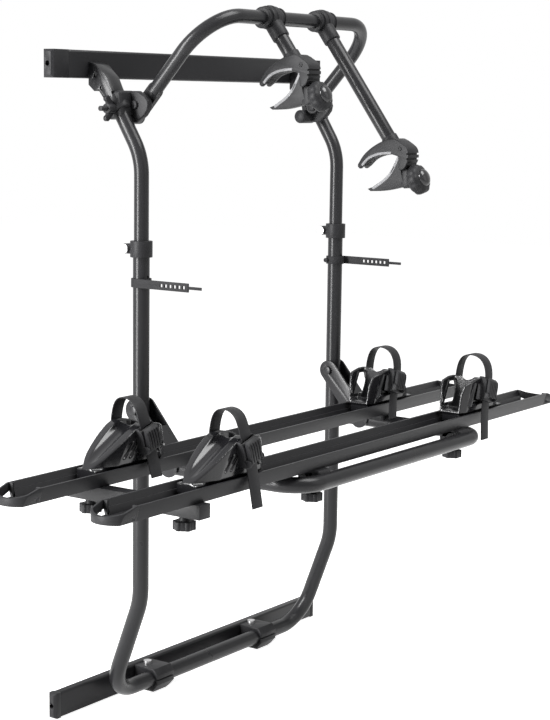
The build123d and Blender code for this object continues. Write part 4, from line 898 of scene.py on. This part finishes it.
# Cradles
def cradle_solid():
    """A left cradle about its own middle: ramp with a round chute, open cheeks, windows and a foot."""
    ramp = curve_through([(-92, RIM + 2), (-68, RIM + 20), (-40, RIM + 38), (-13, RIM + 54), (2, RIM + 60)])
    inner = [(20, RIM + 60), (44, RIM + 55), (53, RIM + 51), (60, RIM + 36), (65, RIM + 2), (65, RIM + 0.5)]
    solid = plate('cradle', ramp + inner + [(-92, RIM + 0.5)], -40, 40, 'Y')
    near = curve_through([(-92, -8), (-70, -20), (-38, -28), (-8, -31)]) + [(40, -31), (65, -20)]
    far = [(point[0], -point[1]) for point in reversed(near)]
    cut_by(solid, plate('plan', near + far, RIM - 1, RIM + 66, 'Z'), 'INTERSECT')
    flare = [(-26, RIM), (26, RIM), (31, RIM + 61), (-31, RIM + 61)]
    cut_by(solid, plate('flare', flare, -100, 66, 'X'), 'INTERSECT')
    trough = plate('trough', [(5, RIM + 62), (5, RIM + 60), (14, RIM + 30), (26, RIM + 6), (67, RIM + 6),
                              (67, RIM + 62)], -30, 30, 'Y')
    room = [(4, -25), (40, -26), (67, -15), (67, 15), (40, 26), (4, 25)]
    cut_by(trough, plate('room', room, RIM, RIM + 70, 'Z'), 'INTERSECT')
    cut_by(solid, trough)
    start = Vector((-129, 0, RIM + 7.6))
    run = Vector((20, 0, RIM + 83.6)) - start
    cut_by(solid, turned('chute', [(20, 0), (20, run.length)], start, run.normalized(), 64))
    for side in (-1, 1):
        window = [(-8, RIM + 14), (42, RIM + 14), (24, RIM + 50), (2, RIM + 50)]
        cut_by(solid, plate('window', window, *sorted((side * 20, side * 40)), 'Y'))
        for shift in (0, 14):
            slot = [(shift - 40, RIM + 12), (shift - 35, RIM + 12),
                    (shift - 15, RIM + 36), (shift - 20, RIM + 36)]
            cut_by(solid, plate('slot', slot, *sorted((side * 24, side * 40)), 'Y'))
        rib = [(22, RIM + 52), (27, RIM + 52), (47, RIM + 13), (41, RIM + 13)]
        solid = joined(solid, plate('rib', rib, *sorted((side * 24, side * 32)), 'Y'))
    foot = [(-92, -19), (60, -19), (60, 19), (-92, 19)]
    solid = joined(solid, plate('foot', foot, RIM - 14.5, RIM + 1, 'Z'))
    finish_with(solid, 'REMESH', mode='VOXEL', voxel_size=CRADLE_VOXEL * MM)
    finish_with(solid, 'SMOOTH', factor=0.5, iterations=4)
    finish_with(solid, 'DECIMATE', ratio=0.45)
    bpy.ops.object.shade_smooth()
    return solid


def buckle_turn(place):
    """Moves a shape drawn about the buckle's middle to the strap's slant."""
    middle = Vector((place, 0, RIM + 38)) * MM
    return Matrix.Translation(middle) @ Matrix.Rotation(math.radians(-STRAP_SLANT), 4, 'Y')


def buckle_block():
    """The buckle's housing about its own middle, with the strap's slot and two ears."""
    outline = [(-25, -21), (-41.5, -21), (-41.5, 12), (-39, 18), (-34, 21), (-25, 21)]
    block = plate('housing', outline, -17, 17, 'X')
    cut_by(block, plate('slot', [(-13.5, -38), (13.5, -38), (13.5, -34), (-13.5, -34)], -24, 24, 'Z'))
    rounded(block, 1.2, 2, 30)
    ears = []
    for side in (-1, 1):
        outline = [(-38, -19), (-46, -19), (-50, -15), (-50, -10), (-46, -7), (-38, -7)]
        ear = plate('ear', outline, *sorted((side * 14.5, side * 17)), 'X')
        ears.append(rounded(ear, 0.8, 2, 30))
    return joined(block, *ears)


def lever_block():
    """The lever in front of the buckle, with upright ribs that taper off at its crown."""
    outline = [(-14, -42), (14, -42), (14, -47)]
    for step in range(5):
        middle = 11.2 - 5.6 * step
        outline += [(middle + 1.9, -50), (middle - 1.9, -50)]
        if step < 4:
            outline += [(middle - 2.3, -47.4), (middle - 3.3, -47.4)]
    outline.append((-14, -47))
    lever = plate('lever', outline, -14, 20, 'Z')
    crown = plate('crown', [(-55, 5), (-50.5, 6), (-48.5, 15), (-42, 21), (-55, 30)], -30, 30, 'X')
    cut_by(lever, crown)
    return rounded(lever, 0.6, 2, 30)


def strap_path(far, near, tail_place, tail):
    """The strap's path from the far cheek over the tyre, through the buckle and down to its tail."""
    lean = math.tan(math.radians(STRAP_SLANT))
    top = STRAP_TOP - 0.8
    shoulder = near - lean * (STRAP_TOP - 28 - RIM - 38)
    foot = near + lean * 28
    step = (far - shoulder) / (STRAP_FAR + STRAP_NEAR)
    return eased([(far, STRAP_FAR, RIM + 4), (far, STRAP_FAR, STRAP_TOP - 32),
                  (far - 14 * step, STRAP_FAR - 14, top), (shoulder + 16 * step, 16 - STRAP_NEAR, top),
                  (shoulder, -STRAP_NEAR, STRAP_TOP - 30), (foot, -STRAP_NEAR, RIM + 10),
                  (tail_place, TAIL_LEAN, tail)], 4)


class CARRIER_OT_cradles(bpy.types.Operator):
    """Models the four wheel cradles with their buckles, levers and straps"""
    bl_idname = "carrier.cradles"
    bl_label = "Wheel cradles"

    def execute(self, context):
        solid = cradle_solid()
        block = buckle_block()
        lever = lever_block()
        for place in CRADLES:
            node = f'cradle_{place}'
            right = place.endswith('right')
            strap_low, strap_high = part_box(f'cradle_strap_{place}')
            centre = (strap_low[0] + strap_high[0]) / 2 / MM
            shift = (centre, RAIL_LINES[place.split('_')[0]], 0)
            dress(copy_of(solid, f'wheel_cradle_{place}', shift, right), node, 'cradle_gloss', node)
            buckle_x = -6 if right else 8
            lever_node = f'buckle_lever_{place}'
            for shape, name, key, replaced in ((block, f'buckle_{place}', node, ()),
                                               (lever, f'lever_{place}', lever_node, (lever_node,))):
                drawn = copy_of(shape, 'drawn')
                drawn.data.transform(buckle_turn(buckle_x))
                piece = copy_of(drawn, name, shift, right)
                bpy.data.objects.remove(drawn)
                dress(piece, key, 'moulding', *replaced)
            tail = strap_low[2] / MM + 0.3
            path = strap_path(-24, buckle_x, 25, tail) if right else strap_path(14, buckle_x, 12, tail)
            ribbon = band('ribbon', path, STRAP_WIDTH, STRAP_THICKNESS)
            strap = copy_of(ribbon, f'tyre_strap_{place}', shift, right)
            bpy.data.objects.remove(ribbon)
            rounded(strap, 0.4, 2, 50)
            dress(strap, f'cradle_strap_{place}', 'strap', f'cradle_strap_{place}')
        for shape in (solid, block, lever):
            bpy.data.objects.remove(shape)
        return {'FINISHED'}


# Frame parts with rounded edges, and the width of each rounding
SOFT_EDGES = {
    'hanger_brackets': 0.7, 'top_bar_caps': 1.0, 'door_beam_caps': 1.0, 'beam_clamps': 1.5,
    'clamp_collars': 0.8, 'strut_left': 0.6, 'strut_right': 0.6, 'rail_caps': 0.8, 'rail_fixings': 1.0,
    'lock_knob_left': 0.8, 'lock_knob_right': 0.8, 'door_beam': 0.5, 'top_bar': 0.5, 'crossbar': 0.8,
    'retaining_straps': 0.4, 'platform_plugs': 0.6, 'rail_inner': 0.35, 'rail_outer': 0.35,
    **{f'platform_knob_{place}': 0.8 for place in PLATFORM_KNOBS},
}


class CARRIER_OT_soft_edges(bpy.types.Operator):
    """Rounds the edges of the frame's clamps, caps, knobs and extrusions"""
    bl_idname = "carrier.soft_edges"
    bl_label = "Rounded edges"

    def execute(self, context):
        for node, width in SOFT_EDGES.items():
            softened(node, width)
        return {'FINISHED'}


# Stage
def softbox(name, place, aim, size, energy):
    """A rectangular area lamp aimed at a point."""
    bpy.ops.object.light_add(type='AREA', location=place)
    lamp = bpy.context.object
    lamp.name = name
    lamp.data.shape = 'RECTANGLE'
    lamp.data.size = size[0]
    lamp.data.size_y = size[1]
    lamp.data.energy = energy
    lamp.rotation_euler = (Vector(aim) - Vector(place)).to_track_quat('-Z', 'Y').to_euler()


class CARRIER_OT_stage(bpy.types.Operator):
    """Adds the camera, the paper floor and the soft lamps"""
    bl_idname = "carrier.stage"
    bl_label = "Stage"

    def execute(self, context):
        clear_selection()
        bpy.ops.object.camera_add(location=CAMERA_PLACE)
        camera = bpy.context.object
        turn = Matrix.Rotation(math.radians(CAMERA_YAW - 90), 4, 'Z')
        tip = Matrix.Rotation(math.radians(90 - CAMERA_PITCH), 4, 'X')
        roll = Matrix.Rotation(math.radians(CAMERA_ROLL), 4, 'Z')
        camera.matrix_world = Matrix.Translation(CAMERA_PLACE) @ turn @ tip @ roll
        camera.data.lens = CAMERA_LENS
        camera.data.clip_end = 60
        context.scene.camera = camera
        self.lay_floor(context)
        for name, (place, size, energy) in LAMPS.items():
            softbox(name, place, LAMP_AIM, size, energy)
        world = bpy.data.worlds.new('studio')
        context.scene.world = world
        world.use_nodes = True
        background = world.node_tree.nodes['Background']
        background.inputs['Color'].default_value = (1, 1, 1, 1)
        self.white_for_camera(world.node_tree, background.inputs['Strength'], WORLD_LEVEL, 1.0)
        context.scene.view_settings.view_transform = 'Standard'
        return {'FINISHED'}

    def white_for_camera(self, tree, socket, plain, seen):
        """Gives one strength to the camera, mirrors and glass, and another to the light that is shed."""
        path = add_node(tree, 'ShaderNodeLightPath')
        mirrored = add_node(tree, 'ShaderNodeMath', operation='MAXIMUM')
        tree.links.new(path.outputs['Is Glossy Ray'], mirrored.inputs[0])
        tree.links.new(path.outputs['Is Transmission Ray'], mirrored.inputs[1])
        either = add_node(tree, 'ShaderNodeMath', operation='MAXIMUM')
        tree.links.new(path.outputs['Is Camera Ray'], either.inputs[0])
        tree.links.new(mirrored.outputs['Value'], either.inputs[1])
        span = add_node(tree, 'ShaderNodeMapRange')
        span.inputs['To Min'].default_value = plain
        span.inputs['To Max'].default_value = seen
        tree.links.new(either.outputs['Value'], span.inputs['Value'])
        tree.links.new(span.outputs['Result'], socket)

    def lay_floor(self, context):
        """A plain paper floor just under the carrier, which shows white and keeps its shadow."""
        level = CAD_BOX[0][2] - FLOOR_DROP
        clear_selection()
        bpy.ops.mesh.primitive_plane_add(size=FLOOR_SIZE, location=(*FLOOR_CENTRE, level))
        floor = bpy.context.object
        floor.name = 'paper_floor'
        material, tree, shader = new_material('paper')
        shader.inputs['Roughness'].default_value = 0.9
        shader.inputs['Specular IOR Level'].default_value = 0.0
        shader.inputs['Base Color'].default_value = (*context.scene.carrier_finish.floor_colour, 1)
        shader.inputs['Emission Color'].default_value = (1, 1, 1, 1)
        self.white_for_camera(tree, shader.inputs['Emission Strength'], 0.0, FLOOR_GLOW)
        floor.data.materials.append(material)


# Panel and registration
OPERATORS = (CARRIER_OT_finishes, CARRIER_OT_soft_edges, CARRIER_OT_tubes, CARRIER_OT_claws,
             CARRIER_OT_cradles, CARRIER_OT_stage)


class CARRIER_PT_panel(bpy.types.Panel):
    """Lists the steps that dress the carrier"""
    bl_label = "Bike Carrier"
    bl_idname = "CARRIER_PT_panel"
    bl_space_type = 'VIEW_3D'
    bl_region_type = 'UI'
    bl_category = "Bike Carrier"

    def draw(self, context):
        for operator in OPERATORS:
            self.layout.operator(operator.bl_idname)
        for name in CarrierFinish.__annotations__:
            self.layout.prop(context.scene.carrier_finish, name)


CLASSES = (CarrierFinish, *OPERATORS, CARRIER_PT_panel)


def register():
    for cls in CLASSES:
        bpy.utils.register_class(cls)
    bpy.types.Scene.carrier_finish = bpy.props.PointerProperty(type=CarrierFinish)


def unregister():
    del bpy.types.Scene.carrier_finish
    for cls in reversed(CLASSES):
        bpy.utils.unregister_class(cls)


def run_step(operator):
    """Calls one operator through bpy.ops by its own name."""
    group, name = operator.bl_idname.split('.')
    getattr(getattr(bpy.ops, group), name)()


def main():
    """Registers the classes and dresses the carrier."""
    register()
    for operator in OPERATORS:
        run_step(operator)


if __name__ == "__main__":
    main()
